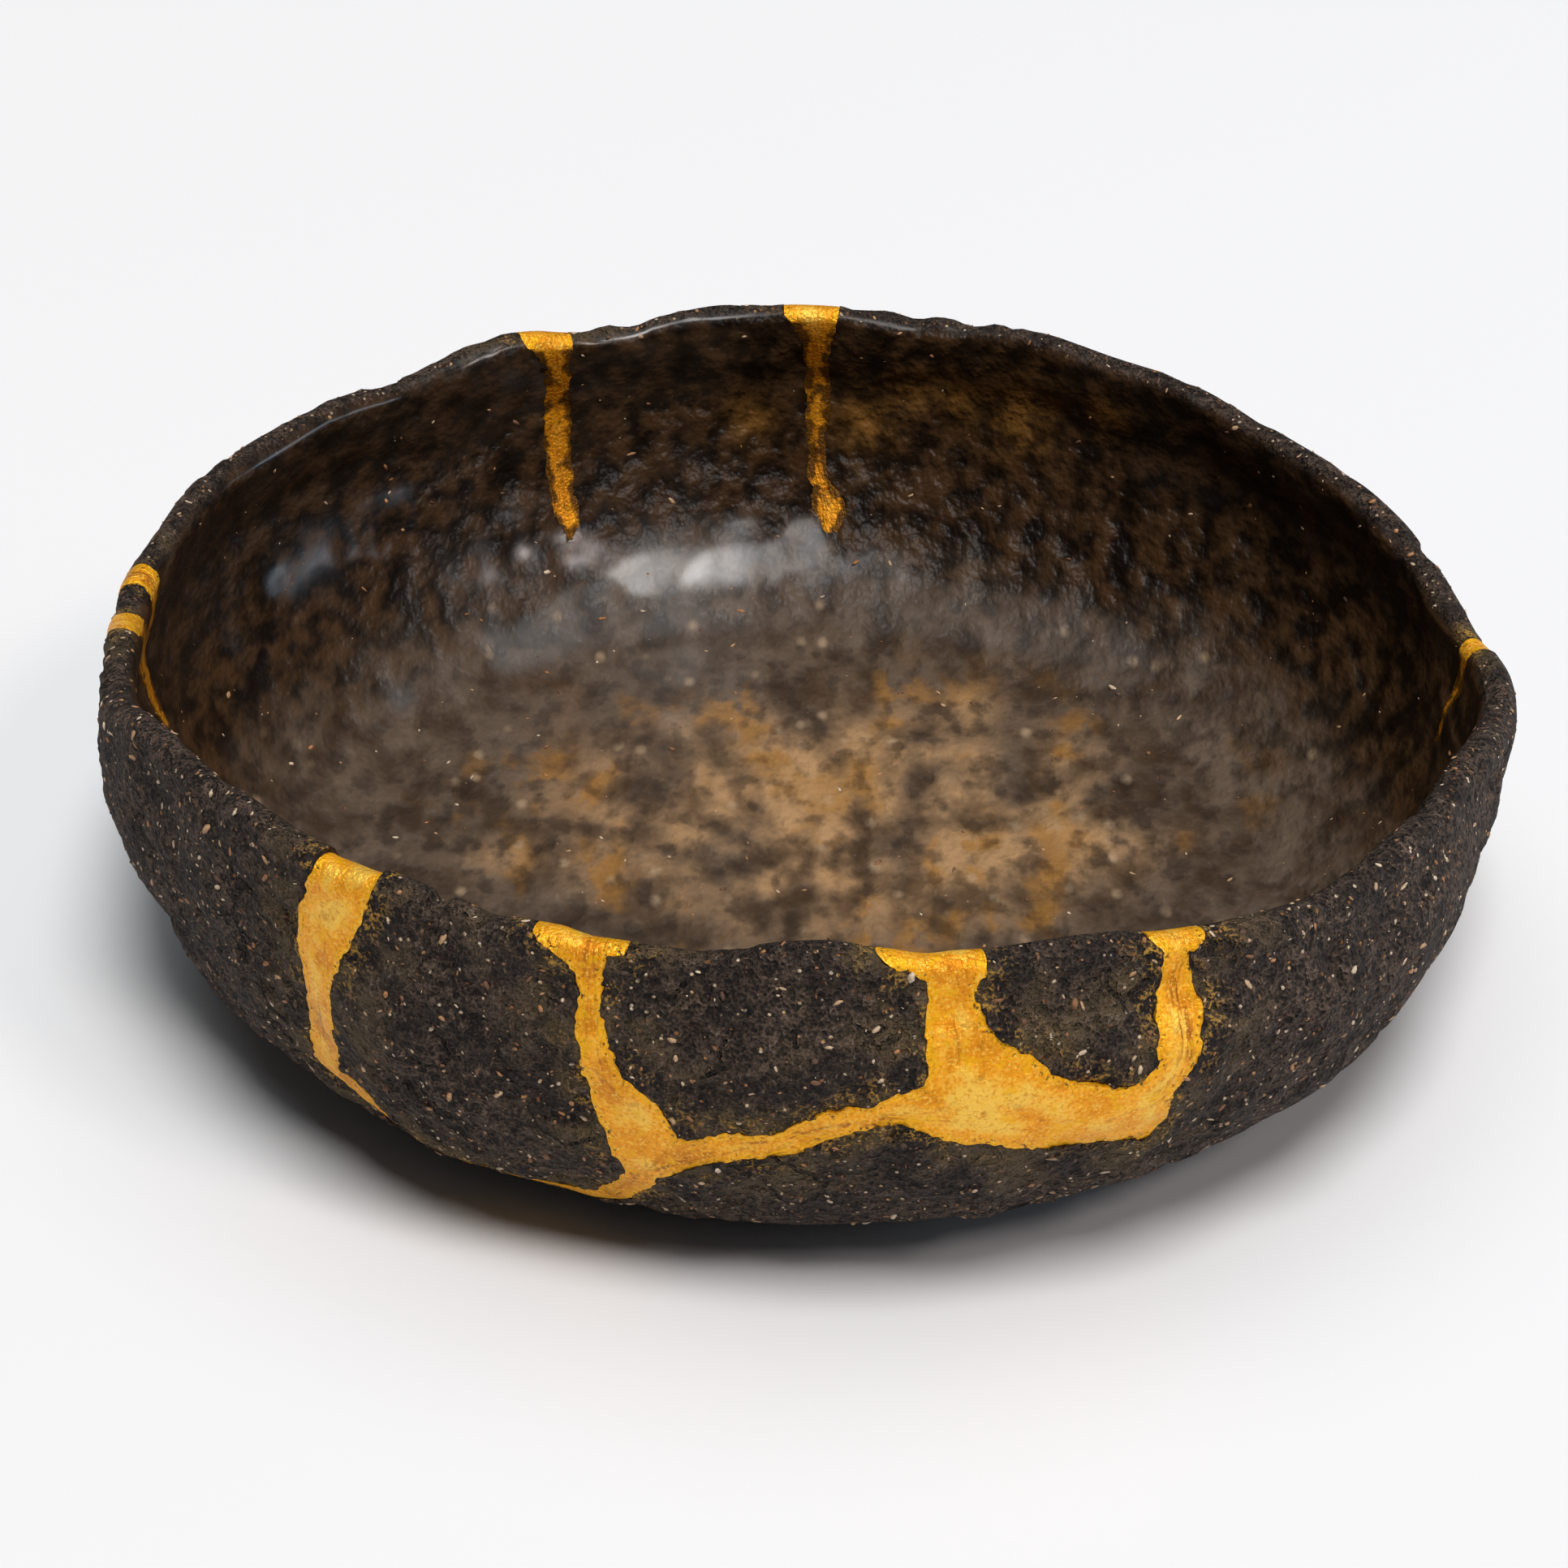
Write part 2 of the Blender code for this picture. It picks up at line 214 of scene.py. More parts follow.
LEFT_SEAM_DOWN: Outline = [
    (-128.0, HEADROOM), (-127.8, -2.3), (-129.8, 3.0), (-129.6, 9.0), (-131.2, 13.6), (-133.4, 19.6),
]
LEFT_SEAM_UP: Outline = [
    (-129.9, 18.6), (-128.4, 14.7), (-127.2, 10.1), (-126.4, 6.5), (-124.0, 2.3), (-122.4, -2.1),
    (-121.6, HEADROOM),
]
UNDER_SEAM_OUT: Outline = [
    (-129.5, 22.6), (-123.5, 25.6), (-117.0, 27.2), (-110.5, 27.3), (-105.6, 26.6),
]
UNDER_SEAM_BACK: Outline = [
    (-106.4, 24.4), (-111.0, 26.2), (-117.0, 26.1), (-123.0, 24.4), (-127.5, 21.4),
]
MID_SEAM_UP: Outline = [
    (-104.6, 21.6), (-102.8, 18.6), (-103.8, 14.8), (-105.0, 8.6), (-105.4, 3.4), (-105.0, 1.4),
    (-106.1, -1.2), (-109.2, -2.6), (-109.6, HEADROOM),
]
MID_SEAM_DOWN: Outline = [
    (-101.0, HEADROOM), (-101.2, -2.6), (-103.5, -1.5), (-103.7, 2.5), (-102.4, 7.9),
    (-99.8, 10.2), (-98.6, 13.5),
]
CROSS_SEAM_OUT: Outline = [(-94.1, 12.6), (-91.2, 12.0), (-88.0, 9.6), (-84.4, 8.3), (-80.9, 7.0)]
CROSS_SEAM_BACK: Outline = [
    (-82.8, 9.9), (-86.4, 11.2), (-90.0, 13.9), (-93.1, 14.7), (-97.7, 16.6), (-100.4, 18.6),
    (-101.6, 21.0), (-104.0, 24.8),
]
RIGHT_SEAM_UP: Outline = [(-80.7, 4.0), (-80.5, -0.2), (-84.4, -2.7), (-84.7, HEADROOM)]
HALF_ROUND_EDGE: Outline = [
    (-76.2, HEADROOM), (-76.4, -1.4), (-77.4, 1.2), (-76.2, 4.0), (-73.0, 6.5), (-70.2, 8.4),
    (-66.8, 9.2), (-64.6, 7.6), (-64.2, 4.8), (-63.0, 2.6), (-62.8, 0.6), (-64.1, -0.8),
    (-64.3, HEADROOM),
]
FILL_OUTER_EDGE: Outline = [
    (-58.0, HEADROOM), (-58.2, -0.4), (-60.9, 0.8), (-60.6, 5.0), (-61.4, 8.0), (-63.2, 10.2),
    (-63.1, 13.5), (-64.2, 15.2), (-68.5, 14.4), (-72.1, 14.0), (-76.5, 12.8), (-79.6, 11.9),
]
SIDE_FORK_SEAM: Outline = [
    (169.6, HEADROOM), (169.9, 0.0), (171.6, 6.0), (172.2, 10.0), (172.8, 15.5), (174.2, 15.9),
    (174.8, 11.0), (176.4, 7.0), (180.6, 3.0), (182.9, 0.0), (183.1, HEADROOM), (179.8, HEADROOM),
    (179.6, 0.4), (177.4, 3.0), (174.9, 4.8), (173.6, 3.6), (172.7, 0.0), (172.5, HEADROOM),
]
RIGHT_RIM_SEAM: Outline = [
    (5.4, HEADROOM), (5.5, 4.0), (4.4, 7.0), (3.2, 10.0), (2.8, 14.6), (4.0, 15.2),
    (4.8, 10.5), (6.4, 7.4), (7.8, 4.6), (8.0, HEADROOM),
]
BACK_LEFT_SEAM: Outline = [
    (110.9, HEADROOM), (111.1, -1.0), (111.8, 2.0), (111.4, 7.0), (111.7, 12.5), (111.9, 18.0),
    (113.0, 19.0), (114.2, 16.5), (114.0, 12.5), (113.8, 7.0), (113.7, 2.0), (116.0, -0.8),
    (116.4, HEADROOM),
]
BACK_MIDDLE_SEAM: Outline = [
    (85.2, HEADROOM), (85.4, -1.6), (86.4, 1.8), (86.4, 8.5), (86.9, 12.8), (86.2, 15.0),
    (84.4, 17.8), (85.0, 20.4), (86.6, 20.0), (87.6, 18.0), (88.3, 14.5), (88.1, 12.8),
    (88.4, 8.5), (88.6, 1.9), (90.5, -1.6), (90.8, HEADROOM),
]


@dataclass(frozen=True)
class Seam:
    """One gold seam: the node it stands for, its outline and the brush strokes along it."""

    node: str
    outline: Outline
    strokes: tuple[Outline, ...]


SEAMS = (
    Seam(
        "gold_seam_front",
        LEFT_SEAM_DOWN + UNDER_SEAM_OUT + CROSS_SEAM_BACK[::-1] + FILL_OUTER_EDGE[::-1]
        + HALF_ROUND_EDGE[::-1] + RIGHT_SEAM_UP[::-1] + CROSS_SEAM_OUT[::-1]
        + MID_SEAM_DOWN[::-1] + MID_SEAM_UP[::-1] + UNDER_SEAM_BACK + LEFT_SEAM_UP,
        (
            [(-124.8, -14.0), (-125.0, -2.0), (-126.9, 2.6), (-128.0, 7.8), (-129.4, 12.5),
             (-131.0, 17.5), (-130.0, 21.0), (-123.3, 25.0), (-117.0, 26.6), (-110.7, 26.8),
             (-106.0, 25.5)],
            [(-104.9, -14.0), (-104.6, -2.0), (-104.4, 3.0), (-103.8, 8.2), (-101.6, 12.5),
             (-101.0, 17.0), (-102.6, 20.5), (-104.6, 24.0)],
            [(-101.0, 18.0), (-97.0, 15.4), (-92.4, 13.4), (-87.2, 10.4), (-83.6, 9.2),
             (-80.0, 9.6), (-75.0, 10.8), (-68.5, 12.0), (-64.0, 10.6), (-62.4, 7.4),
             (-61.8, 3.0), (-61.2, 0.0), (-61.2, -14.0)],
            [(-80.0, -14.0), (-79.6, -2.0), (-78.9, 2.0), (-78.6, 8.0)],
        ),
    ),
    Seam(
        "gold_seam_left",
        SIDE_FORK_SEAM,
        (
            [(171.1, -14.0), (171.2, 0.0), (173.2, 7.0), (173.5, 15.6)],
            [(181.3, -14.0), (181.2, 1.4), (177.0, 5.0), (174.6, 7.6)],
        ),
    ),
    Seam("gold_seam_right", RIGHT_RIM_SEAM, ([(6.6, -14.0), (6.5, 4.3), (5.0, 8.0), (3.4, 14.9)],)),
    Seam("gold_seam_back_left", BACK_LEFT_SEAM, ([(113.6, -14.0), (112.7, 2.0), (112.9, 18.0)],)),
    Seam(
        "gold_seam_back_centre",
        BACK_MIDDLE_SEAM,
        ([(88.0, -14.0), (87.5, 2.0), (87.5, 13.0), (85.6, 20.0)],),
    ),
)


@dataclass(frozen=True)
class Blot:
    """A stain of the slip inside the bowl: its middle and size in millimetres."""

    middle: Place
    size: float


BLOTS = (
    Blot((-7.9, 92.5, 34.9), 3.4), Blot((9.8, 92.0, 34.6), 4.4), Blot((16.9, 90.8, 40.1), 3.6),
    Blot((24.1, 88.9, 39.8), 4.0), Blot((33.7, 85.5, 38.9), 5.6), Blot((46.5, 79.0, 41.7), 3.0),
    Blot((42.1, 8.9, 8.0), 6.0), Blot((-43.0, 5.4, 8.0), 4.5), Blot((-1.7, 23.9, 8.0), 7.0),
    Blot((25.0, 49.6, 8.0), 4.5),
)

SHERDS = {
    "sherd_front_left": (-115.0, 12.0),
    "sherd_front_centre": (-91.0, 4.0),
    "sherd_front_right": (-70.0, 3.0),
}
RIM_SHERD = ("sherd_left_rim", (176.8, 1.0))
BODY = "bowl_body"


class Roughcast:
    """Smooth random bumps in space, the same each time for the same seed."""

    count = 8192
    mix = (73856093, 19349663, 83492791)

    def __init__(self, seed: int) -> None:
        """Fills the table of corner values."""
        self.table = np.random.default_rng(seed).uniform(-1.0, 1.0, self.count)

    def corner(self, cell: np.ndarray) -> np.ndarray:
        """Value from -1 to 1 at each whole-numbered corner."""
        key = cell[:, 0] * self.mix[0] ^ cell[:, 1] * self.mix[1] ^ cell[:, 2] * self.mix[2]
        return self.table[key & (self.count - 1)]

    def bumps(self, points: np.ndarray, width: float) -> np.ndarray:
        """Bumps of one width.

        Args:
            points: N x 3 places in metres.
            width: distance from one bump to the next, in metres.

        Returns:
            N heights, mostly between -0.7 and 0.7.
        """
        place = points / width
        cell = np.floor(place).astype(np.int64)
        part = place - cell
        part = part * part * part * (part * (part * 6 - 15) + 10)
        total = np.zeros(len(points))
        for step in np.ndindex(2, 2, 2):
            share = np.prod(np.where(np.array(step) == 1, part, 1 - part), axis=1)
            total += share * self.corner(cell + np.array(step))
        return total


LUMPS = Roughcast(4)
KNOBS = Roughcast(11)
GRAIN = Roughcast(23)
CRUMBS = Roughcast(37)
PITS = Roughcast(51)
RAGGED = Roughcast(68)


def around(values: tuple[float, ...], angle: np.ndarray) -> np.ndarray:
    """The smooth closed curve through evenly spaced values.

    Args:
        values: one value for each step from -180 degrees.
        angle: degrees at which the curve is read.

    Returns:
        The curve at each angle.
    """
    count = len(values)
    listed = np.array(values, float)
    place = ((angle + 180.0) % 360.0) / 360.0 * count
    first = np.floor(place).astype(int)
    part = place - first
    a, b, c, d = (listed[(first + k) % count] for k in (-1, 0, 1, 2))
    bend = (2 * a - 5 * b + 4 * c - d) * part + (3 * b - a - 3 * c + d) * part * part
    return 0.5 * (2 * b + (c - a) * part + bend * part)


def waves(listed: tuple[tuple[float, ...], ...], turn: np.ndarray, up: np.ndarray) -> np.ndarray:
    """Waves round the bowl, added up.

    Args:
        listed: strength, count, lean and start of each wave.
        turn: radians round.
        up: height as a share of the girth's.

    Returns:
        The waves at each place.
    """
    return sum(
        strength * np.sin(count * turn + lean * up + start) for strength, count, lean, start in listed
    )


@dataclass(frozen=True)
class Blank:
    """The pinched bowl as a form, without a mesh."""

    sizes: BlankSizes = BlankSizes()
    pinching: Pinching = Pinching()

    def lift_share(self, height: float) -> float:
        """How much of the rim's rise the wall follows at a height."""
        start = self.sizes.lifted_from
        return min(max((height - start) / (self.sizes.top - start), 0.0), 1.0)

    def outer_rows(self, belly: int, shoulder: int) -> list[tuple[float, ...]]:
        """Rows up the outside of the wall.

        Args:
            belly: how many rows the belly has.
            shoulder: how many rows the shoulder has.

        Returns:
            Rows of radius, height, belly share, rim share, lift share and mark share.
        """
        size = self.sizes
        rows = []
        for k in range(belly + 1):
            angle = math.pi / 2 * k / belly
            out = math.sin(angle)
            radius = size.foot_radius + (size.girth_radius - size.foot_radius) * out
            height = size.girth_height * (1 - max(math.cos(angle), 0.0) ** size.belly_power)
            mark = min(height / size.marked_from, 1.0)
            rows.append((radius, height, out, 0.0, self.lift_share(height), mark))
        for k in range(1, shoulder + 1):
            up = k / shoulder
            inward = up * up * (3 - 2 * up)
            radius = size.girth_radius + (size.rim_radius + size.lip - size.girth_radius) * inward
            height = size.girth_height + (size.top - size.girth_height) * up
            rows.append((radius, height, 1 - inward, inward, self.lift_share(height), 1.0))
        return rows

    def inner_rows(self, fine: Fineness) -> list[tuple[float, ...]]:
        """Rows up the inside of the wall, each square to the outside one.

        Args:
            fine: how many rows each stretch has.

        Returns:
            Rows of the same kind as the outer ones.
        """
        size = self.sizes
        outer = self.outer_rows(fine.inner_belly, fine.inner_shoulder)
        rows = []
        for k, (radius, height, belly, rim, _, mark) in enumerate(outer[:-1]):
            before = outer[max(k - 1, 0)]
            after = outer[k + 1]
            along = (after[0] - before[0], after[1] - before[1])
            length = math.hypot(*along)
            share = min(height / size.girth_height, 1.0) ** size.thinning_power
            thick = size.floor + (size.wall - size.floor) * share
            within = height + along[0] / length * thick
            rows.append((
                radius - along[1] / length * thick, within,
                belly, rim, self.lift_share(within), mark * size.inner_share,
            ))
        rows.append((size.rim_radius - size.lip, size.top, 0.0, 1.0, 1.0, size.inner_share))
        return rows

    def profile(self, fine: Fineness) -> np.ndarray:
        """The whole section, from the middle of the foot, over the lip, to the middle of the floor.

        Args:
            fine: how many rows each stretch has.

        Returns:
            Rows of radius, height, four shares, how far inside the row is and how rough it is.
        """
        size = self.sizes
        outer = self.outer_rows(fine.belly, fine.shoulder)
        inner = self.inner_rows(fine)
        rows = [(size.foot_radius * k / fine.foot, *[0.0] * ROUGH) for k in range(fine.foot)]
        rows += [(*row, 0.0, min(row[HEIGHT] / size.rough_from, 1.0)) for row in outer]
        for k in range(1, fine.lip):
            angle = math.pi * k / fine.lip
            share = k / fine.lip
            mark = 1 - (1 - size.inner_share) * share
            radius = size.rim_radius + size.lip * math.cos(angle)
            height = size.top + size.lip * math.sin(angle)
            rows.append((radius, height, 0.0, 1.0, 1.0, mark, share, 1.0))
        rows += [(*row, 1.0, 1.0) for row in reversed(inner)]
        edge_radius, edge_height = inner[0][:2]
        for k in range(1, fine.floor + 1):
            share = 1 - k / fine.floor
            height = size.floor + (edge_height - size.floor) * share
            rows.append((edge_radius * share, height, 0.0, 0.0, 0.0, 0.0, 1.0, 1.0))
        return np.array(rows)

    def pinched(self, rows: np.ndarray, angles: np.ndarray) -> np.ndarray:
        """Places of the pinched form.

        Args:
            rows: rows of the section.
            angles: degrees of the columns.

        Returns:
            rows x columns x 3 places in metres.
        """
        size = self.sizes
        pinch = self.pinching
        radius, height, belly, rim, lift, mark = (rows[:, k, None] for k in range(INSIDE))
        angle = angles[None, :]
        turn = np.radians(angle)
        up = height / size.girth_height
        fingers = waves(pinch.finger_waves, turn, up) / pinch.finger_reach
        lip = waves(pinch.lip_waves, turn, up) / pinch.lip_reach
        pushed = radius + belly * pinch.step * around(pinch.belly_sway, angle)
        pushed = pushed + rim * pinch.step * around(pinch.rim_sway, angle)
        pushed = pushed + mark * size.wall_mark * fingers
        rise = pinch.step * around(pinch.rim_lift, angle) + size.lip_mark * lip
        raised = height + lift * rise
        return np.stack(
            [pushed * np.cos(turn) + size.axis_x, pushed * np.sin(turn) + size.axis_y, raised],
            axis=-1,
        )

    def seen_from_rim(
        self, angle: np.ndarray, down: np.ndarray, away: np.ndarray | float
    ) -> np.ndarray:
        """Places at a distance from the middle of the rim, an angle round and an angle down.

        Args:
            angle: degrees round.
            down: degrees below the level of the rim.
            away: distance in metres.

        Returns:
            N x 3 places in metres.
        """
        turn = np.radians(angle)
        drop = np.radians(down)
        level = away * np.cos(drop)
        return np.stack(
            [
                self.sizes.axis_x + level * np.cos(turn),
                self.sizes.axis_y + level * np.sin(turn),
                self.sizes.rim_height - away * np.sin(drop),
            ],
            axis=-1,
        )

    def directions(self, points: np.ndarray) -> np.ndarray:
        """Places moved straight out or in from the middle of the rim to the girth's distance.

        Args:
            points: N x 3 places in metres.

        Returns:
            The moved places.
        """
        centre = np.array([self.sizes.axis_x, self.sizes.axis_y, self.sizes.rim_height])
        out = points - centre
        return out / np.linalg.norm(out, axis=1)[:, None] * self.sizes.girth_radius

    def at_girth(self, line: np.ndarray) -> np.ndarray:
        """Places at the girth's distance for angles round and angles down, N x 2."""
        away = self.sizes.girth_radius
        return self.directions(self.seen_from_rim(line[:, 0], line[:, 1], away))


def mesh_of(name: str, points: np.ndarray, faces: list[list[int]]) -> Mesh:
    """A mesh from places and faces.

    Args:
        name: name of the mesh.
        points: N x 3 places in metres.
        faces: corner numbers of each face.

    Returns:
        The mesh.
    """
    mesh = bpy.data.meshes.new(name)
    mesh.from_pydata(points.tolist(), [], faces)
    mesh.update()
    return mesh


def object_of(name: str, shown: bpy.types.ID) -> Object:
    """An object at the origin.

    Args:
        name: name of the object.
        shown: mesh, curve, light or camera that it shows.

    Returns:
        The object, in the scene.
    """
    obj = bpy.data.objects.new(name, shown)
    bpy.context.scene.collection.objects.link(obj)
    return obj


def settled(obj: Object) -> Mesh:
    """The object's shape with its modifiers, as a mesh of its own."""
    graph = bpy.context.evaluated_depsgraph_get()
    return bpy.data.meshes.new_from_object(obj.evaluated_get(graph))


def shape_of(mesh: Mesh) -> Shape:
    """The places of a mesh's corners and the corner numbers of its triangles.

    Args:
        mesh: the mesh.

    Returns:
        N x 3 places and M x 3 corner numbers.
    """
    places = np.empty(len(mesh.vertices) * 3)
    mesh.vertices.foreach_get("co", places)
    mesh.calc_loop_triangles()
    triangles = np.empty(len(mesh.loop_triangles) * 3, np.int32)
    mesh.loop_triangles.foreach_get("vertices", triangles)
    return places.reshape(-1, 3), triangles.reshape(-1, 3)


def tree_of(places: np.ndarray) -> KDTree:
    """A tree that finds the nearest of many places.

    Args:
        places: N x 3 places.

    Returns:
        The tree.
    """
    tree = KDTree(len(places))
    for k, place in enumerate(places):
        tree.insert(place, k)
    tree.balance()
    return tree


class Skin:
    """A fine closed mesh of the pinched bowl with its relief."""

    def __init__(self, name: str, blank: Blank, fine: Fineness, relief: Relief) -> None:
        """Meshes the form.

        Args:
            name: name of the object.
            blank: the form.
            fine: how finely it is meshed.
            relief: how rough it is.
        """
        self.relief = relief
        self.rows = blank.profile(fine)
        self.angles = self.columns(fine)
        grid = blank.pinched(self.rows, self.angles)
        grid[..., 2] -= self.dented(blank.sizes.rim_height)
        grid = grid + self.normals(grid) * self.height(grid)[..., None]
        places, faces = self.closed(grid)
        self.inside = self.spread(self.rows[:, INSIDE])
        self.object = object_of(name, mesh_of(name, places, faces))
        self.near = tree_of(places)

    def dented(self, rim_height: float) -> np.ndarray:
        """How far the lip is worn down at each place.

        Args:
            rim_height: height of the blank's rim.

        Returns:
            rows x columns depths in metres, below nothing where the lip is drawn up.
        """
        reach = self.rows[:, HEIGHT] - rim_height + self.relief.dented_from
        near_lip = np.clip(reach / self.relief.dent_fade, 0.0, 1.0)
        total = np.zeros(len(self.angles))
        for angle, width, depth in self.relief.dents:
            away = (self.angles - angle + 180.0) % 360.0 - 180.0
            total += depth * np.exp(-((away / width) ** 4))
        return near_lip[:, None] * total[None, :]

    @staticmethod
    def columns(fine: Fineness) -> np.ndarray:
        """Angles of the columns, close together at the front and wider elsewhere.

        Args:
            fine: the steps between them.

        Returns:
            The angles in degrees.
        """
        front = np.arange(fine.fine_from, fine.fine_to, fine.fine_step)
        end = fine.fine_from + 360.0 - fine.coarse_step / 2
        return np.concatenate([front, np.arange(fine.fine_to, end, fine.coarse_step)])

    @staticmethod
    def normals(grid: np.ndarray) -> np.ndarray:
        """Directions square to a closed grid of places, pointing out of the clay.

        Args:
            grid: rows x columns x 3 places.

        Returns:
            rows x columns x 3 directions.
        """
        round_by = np.roll(grid, -1, axis=1) - np.roll(grid, 1, axis=1)
        up_by = np.gradient(grid, axis=0)
        out = np.cross(round_by, up_by)
        length = np.linalg.norm(out, axis=-1, keepdims=True)
        return out / np.maximum(length, 1e-12)

    def height(self, grid: np.ndarray) -> np.ndarray:
        """How far each place stands off the plain form.

        The knobs are worn off the floor, and the finer relief is only outside.

        Args:
            grid: rows x columns x 3 places.

        Returns:
            rows x columns heights in metres, mostly below nothing.
        """
        relief = self.relief
        flat = grid.reshape(-1, 3)
        shape = grid.shape[:2]
        belly, rim, inside, rough = (self.rows[:, k, None] for k in (BELLY, RIM, INSIDE, ROUGH))
        lumps = relief.lumps * LUMPS.bumps(flat, relief.lump_width).reshape(shape)
        knobs = relief.knobs * KNOBS.bumps(flat, relief.knob_width).reshape(shape)
        lumps += knobs * (1 - relief.worn_floor * inside * (1 - belly - rim))
        fine = relief.grain * GRAIN.bumps(flat, relief.grain_width)
        if relief.crumbs:
            fine += relief.crumbs * CRUMBS.bumps(flat, relief.crumb_width)
        if relief.pits:
            pit = PITS.bumps(flat, relief.pit_width) - relief.pit_from
            pit = np.clip(pit / relief.pit_slope, 0.0, 1.0)
            fine -= relief.pits * pit * pit * (3 - 2 * pit)
        total = lumps + fine.reshape(shape) * (1 - inside)
        from_top = self.rows[:, HEIGHT, None] - self.rows[:, HEIGHT].max()
        near_lip = np.clip((from_top + relief.lip_from) / relief.lip_fade, 0.0, 1.0)
        sunk = relief.sunk * (1 - (1 - relief.lip_share) * near_lip)
        most = relief.most_share * sunk
        total = np.where(total > 0, most * np.tanh(total / most), total)
        return (total * (1 - (1 - relief.within) * inside) - sunk) * rough

    def closed(self, grid: np.ndarray) -> tuple[np.ndarray, list[list[int]]]:
        """Joins a grid into a closed mesh with a single corner at the middle of foot and floor.

        Args:
            grid: rows x columns x 3 places.

        Returns:
            The places and the faces.
        """
        count_up, count_round = grid.shape[:2]
        ring = grid[1:-1].reshape(-1, 3)
        places = np.concatenate([ring, grid[0, :1], grid[-1].mean(axis=0)[None]])
        foot = len(ring)
        number = np.arange(len(ring)).reshape(count_up - 2, count_round)
        after = np.roll(number, -1, axis=1)
        quads = np.stack([number[:-1], after[:-1], after[1:], number[1:]], axis=-1)
        faces = quads.reshape(-1, 4).tolist()
        for k in range(count_round):
            faces.append([int(after[0, k]), int(number[0, k]), foot])
            faces.append([int(number[-1, k]), int(after[-1, k]), foot + 1])
        return places, faces

    def spread(self, by_row: np.ndarray) -> np.ndarray:
        """One value for each corner from one value for each row."""
        ring = np.repeat(by_row[1:-1], len(self.angles))
        return np.concatenate([ring, by_row[[0, -1]]])

    def insideness(self, points: np.ndarray) -> np.ndarray:
        """How far inside the bowl each place is, from 0 outside to 1 inside."""
        return np.array([self.inside[self.near.find(point)[1]] for point in points])

    def cut(self, blades: list[Object], how: Cut) -> Shape:
        """The skin after each blade has cut it.

        Args:
            blades: closed solids.
            how: what a blade does.

        Returns:
            Places and triangles of what is left.
        """
        for blade in blades:
            step = self.object.modifiers.new(blade.name, "BOOLEAN")
            step.operation = how.value
            step.object = blade
            step.solver = "MANIFOLD"
        mesh = settled(self.object)
        self.object.modifiers.clear()
        found = shape_of(mesh)
        bpy.data.meshes.remove(mesh)
        return found


@dataclass
class Blade:
    """A seam's outline with its ragged edge, and the solid that cuts it out of a skin.

    Distances are in metres from the middle of the rim. What runs along the outline is in degrees.
    """

    blank: Blank
    outline: Outline
    near: float = 58.0 * MM
    far: float = 132.0 * MM
    spacing: float = 0.15
    rounding: float = 0.13
    corner_points: int = 4
    rag_wide: float = 0.20
    wide_width: float = 1.6
    rag_fine: float = 0.21
    fine_width: float = 0.45
    axes_apart: float = 40.0
    rags_apart: float = 7.0

    def plain(self) -> np.ndarray:
        """The outline with its corners rounded a little and points evenly along it.

        Returns:
            N x 2 angles round and down.
        """
        corners = np.array(self.outline)
        before = np.roll(corners, 1, axis=0)
        after = np.roll(corners, -1, axis=0)
        into = corners + (before - corners) * self.rounding
        out = corners + (after - corners) * self.rounding
        steps = np.linspace(0, 1, self.corner_points)[:, None, None]
        curve = (1 - steps) ** 2 * into + 2 * steps * (1 - steps) * corners + steps**2 * out
        line = curve.transpose(1, 0, 2).reshape(-1, 2)
        ends = np.roll(line, -1, axis=0)
        points = []
        for start, end in zip(line, ends):
            parts = max(int(math.hypot(*(end - start)) / self.spacing), 1)
            points.extend(start + (end - start) * k / parts for k in range(parts))
        return np.array(points)

    def line(self, spill: float) -> np.ndarray:
        """The ragged outline, moved out.

        Args:
            spill: degrees by which it is moved out.

        Returns:
            N x 2 angles round and down.
        """
        line = self.plain()
        before = np.roll(line, 1, axis=0)
        after = np.roll(line, -1, axis=0)
        along = after - before
        out = np.stack([along[:, 1], -along[:, 0]], axis=-1)
        out /= np.maximum(np.linalg.norm(out, axis=1), 1e-9)[:, None]
        area = np.sum(line[:, 0] * after[:, 1] - after[:, 0] * line[:, 1])
        flat = np.concatenate([line, np.zeros((len(line), 1))], axis=1)
        shoves = []
        for axis in (1, 2):
            place = flat + self.axes_apart * axis
            wide = self.rag_wide * RAGGED.bumps(place, self.wide_width)
            fine = self.rag_fine * RAGGED.bumps(place + self.rags_apart, self.fine_width)
            shoves.append(wide + fine)
        return line + out * math.copysign(spill, area) + np.stack(shoves, axis=-1)

    def solid(self, name: str, spill: float) -> Object:
        """The outline carried straight out from the middle of the rim.

        Args:
            name: name of the object.
            spill: degrees by which the outline is moved out.

        Returns:
            The closed solid, left out of the render.
        """
        line = self.line(spill)
        curve = bpy.data.curves.new(name, "CURVE")
        curve.dimensions = "2D"
        curve.fill_mode = "BOTH"
        curve.extrude = 0.5
        spline = curve.splines.new("POLY")
        spline.points.add(len(line) - 1)
        flat = np.concatenate([line, np.zeros((len(line), 1)), np.ones((len(line), 1))], axis=1)
        spline.points.foreach_set("co", flat.ravel())
        spline.use_cyclic_u = True
        drawn = object_of(name, curve)
        places, faces = shape_of(settled(drawn))
        bpy.data.objects.remove(drawn)
        _, first, number = np.unique(
            np.round(places, 4), axis=0, return_index=True, return_inverse=True
        )
        places = places[first]
        faces = number.reshape(-1)[faces]
        away = np.where(places[:, 2] > 0, self.far, self.near)
        places = self.blank.seen_from_rim(places[:, 0], places[:, 1], away)
        if np.linalg.det(places[faces] - places.mean(axis=0)).sum() < 0:
            faces = faces[:, ::-1]
        made = object_of(name, mesh_of(name, places, faces.tolist()))
        made.hide_render = True
        return made


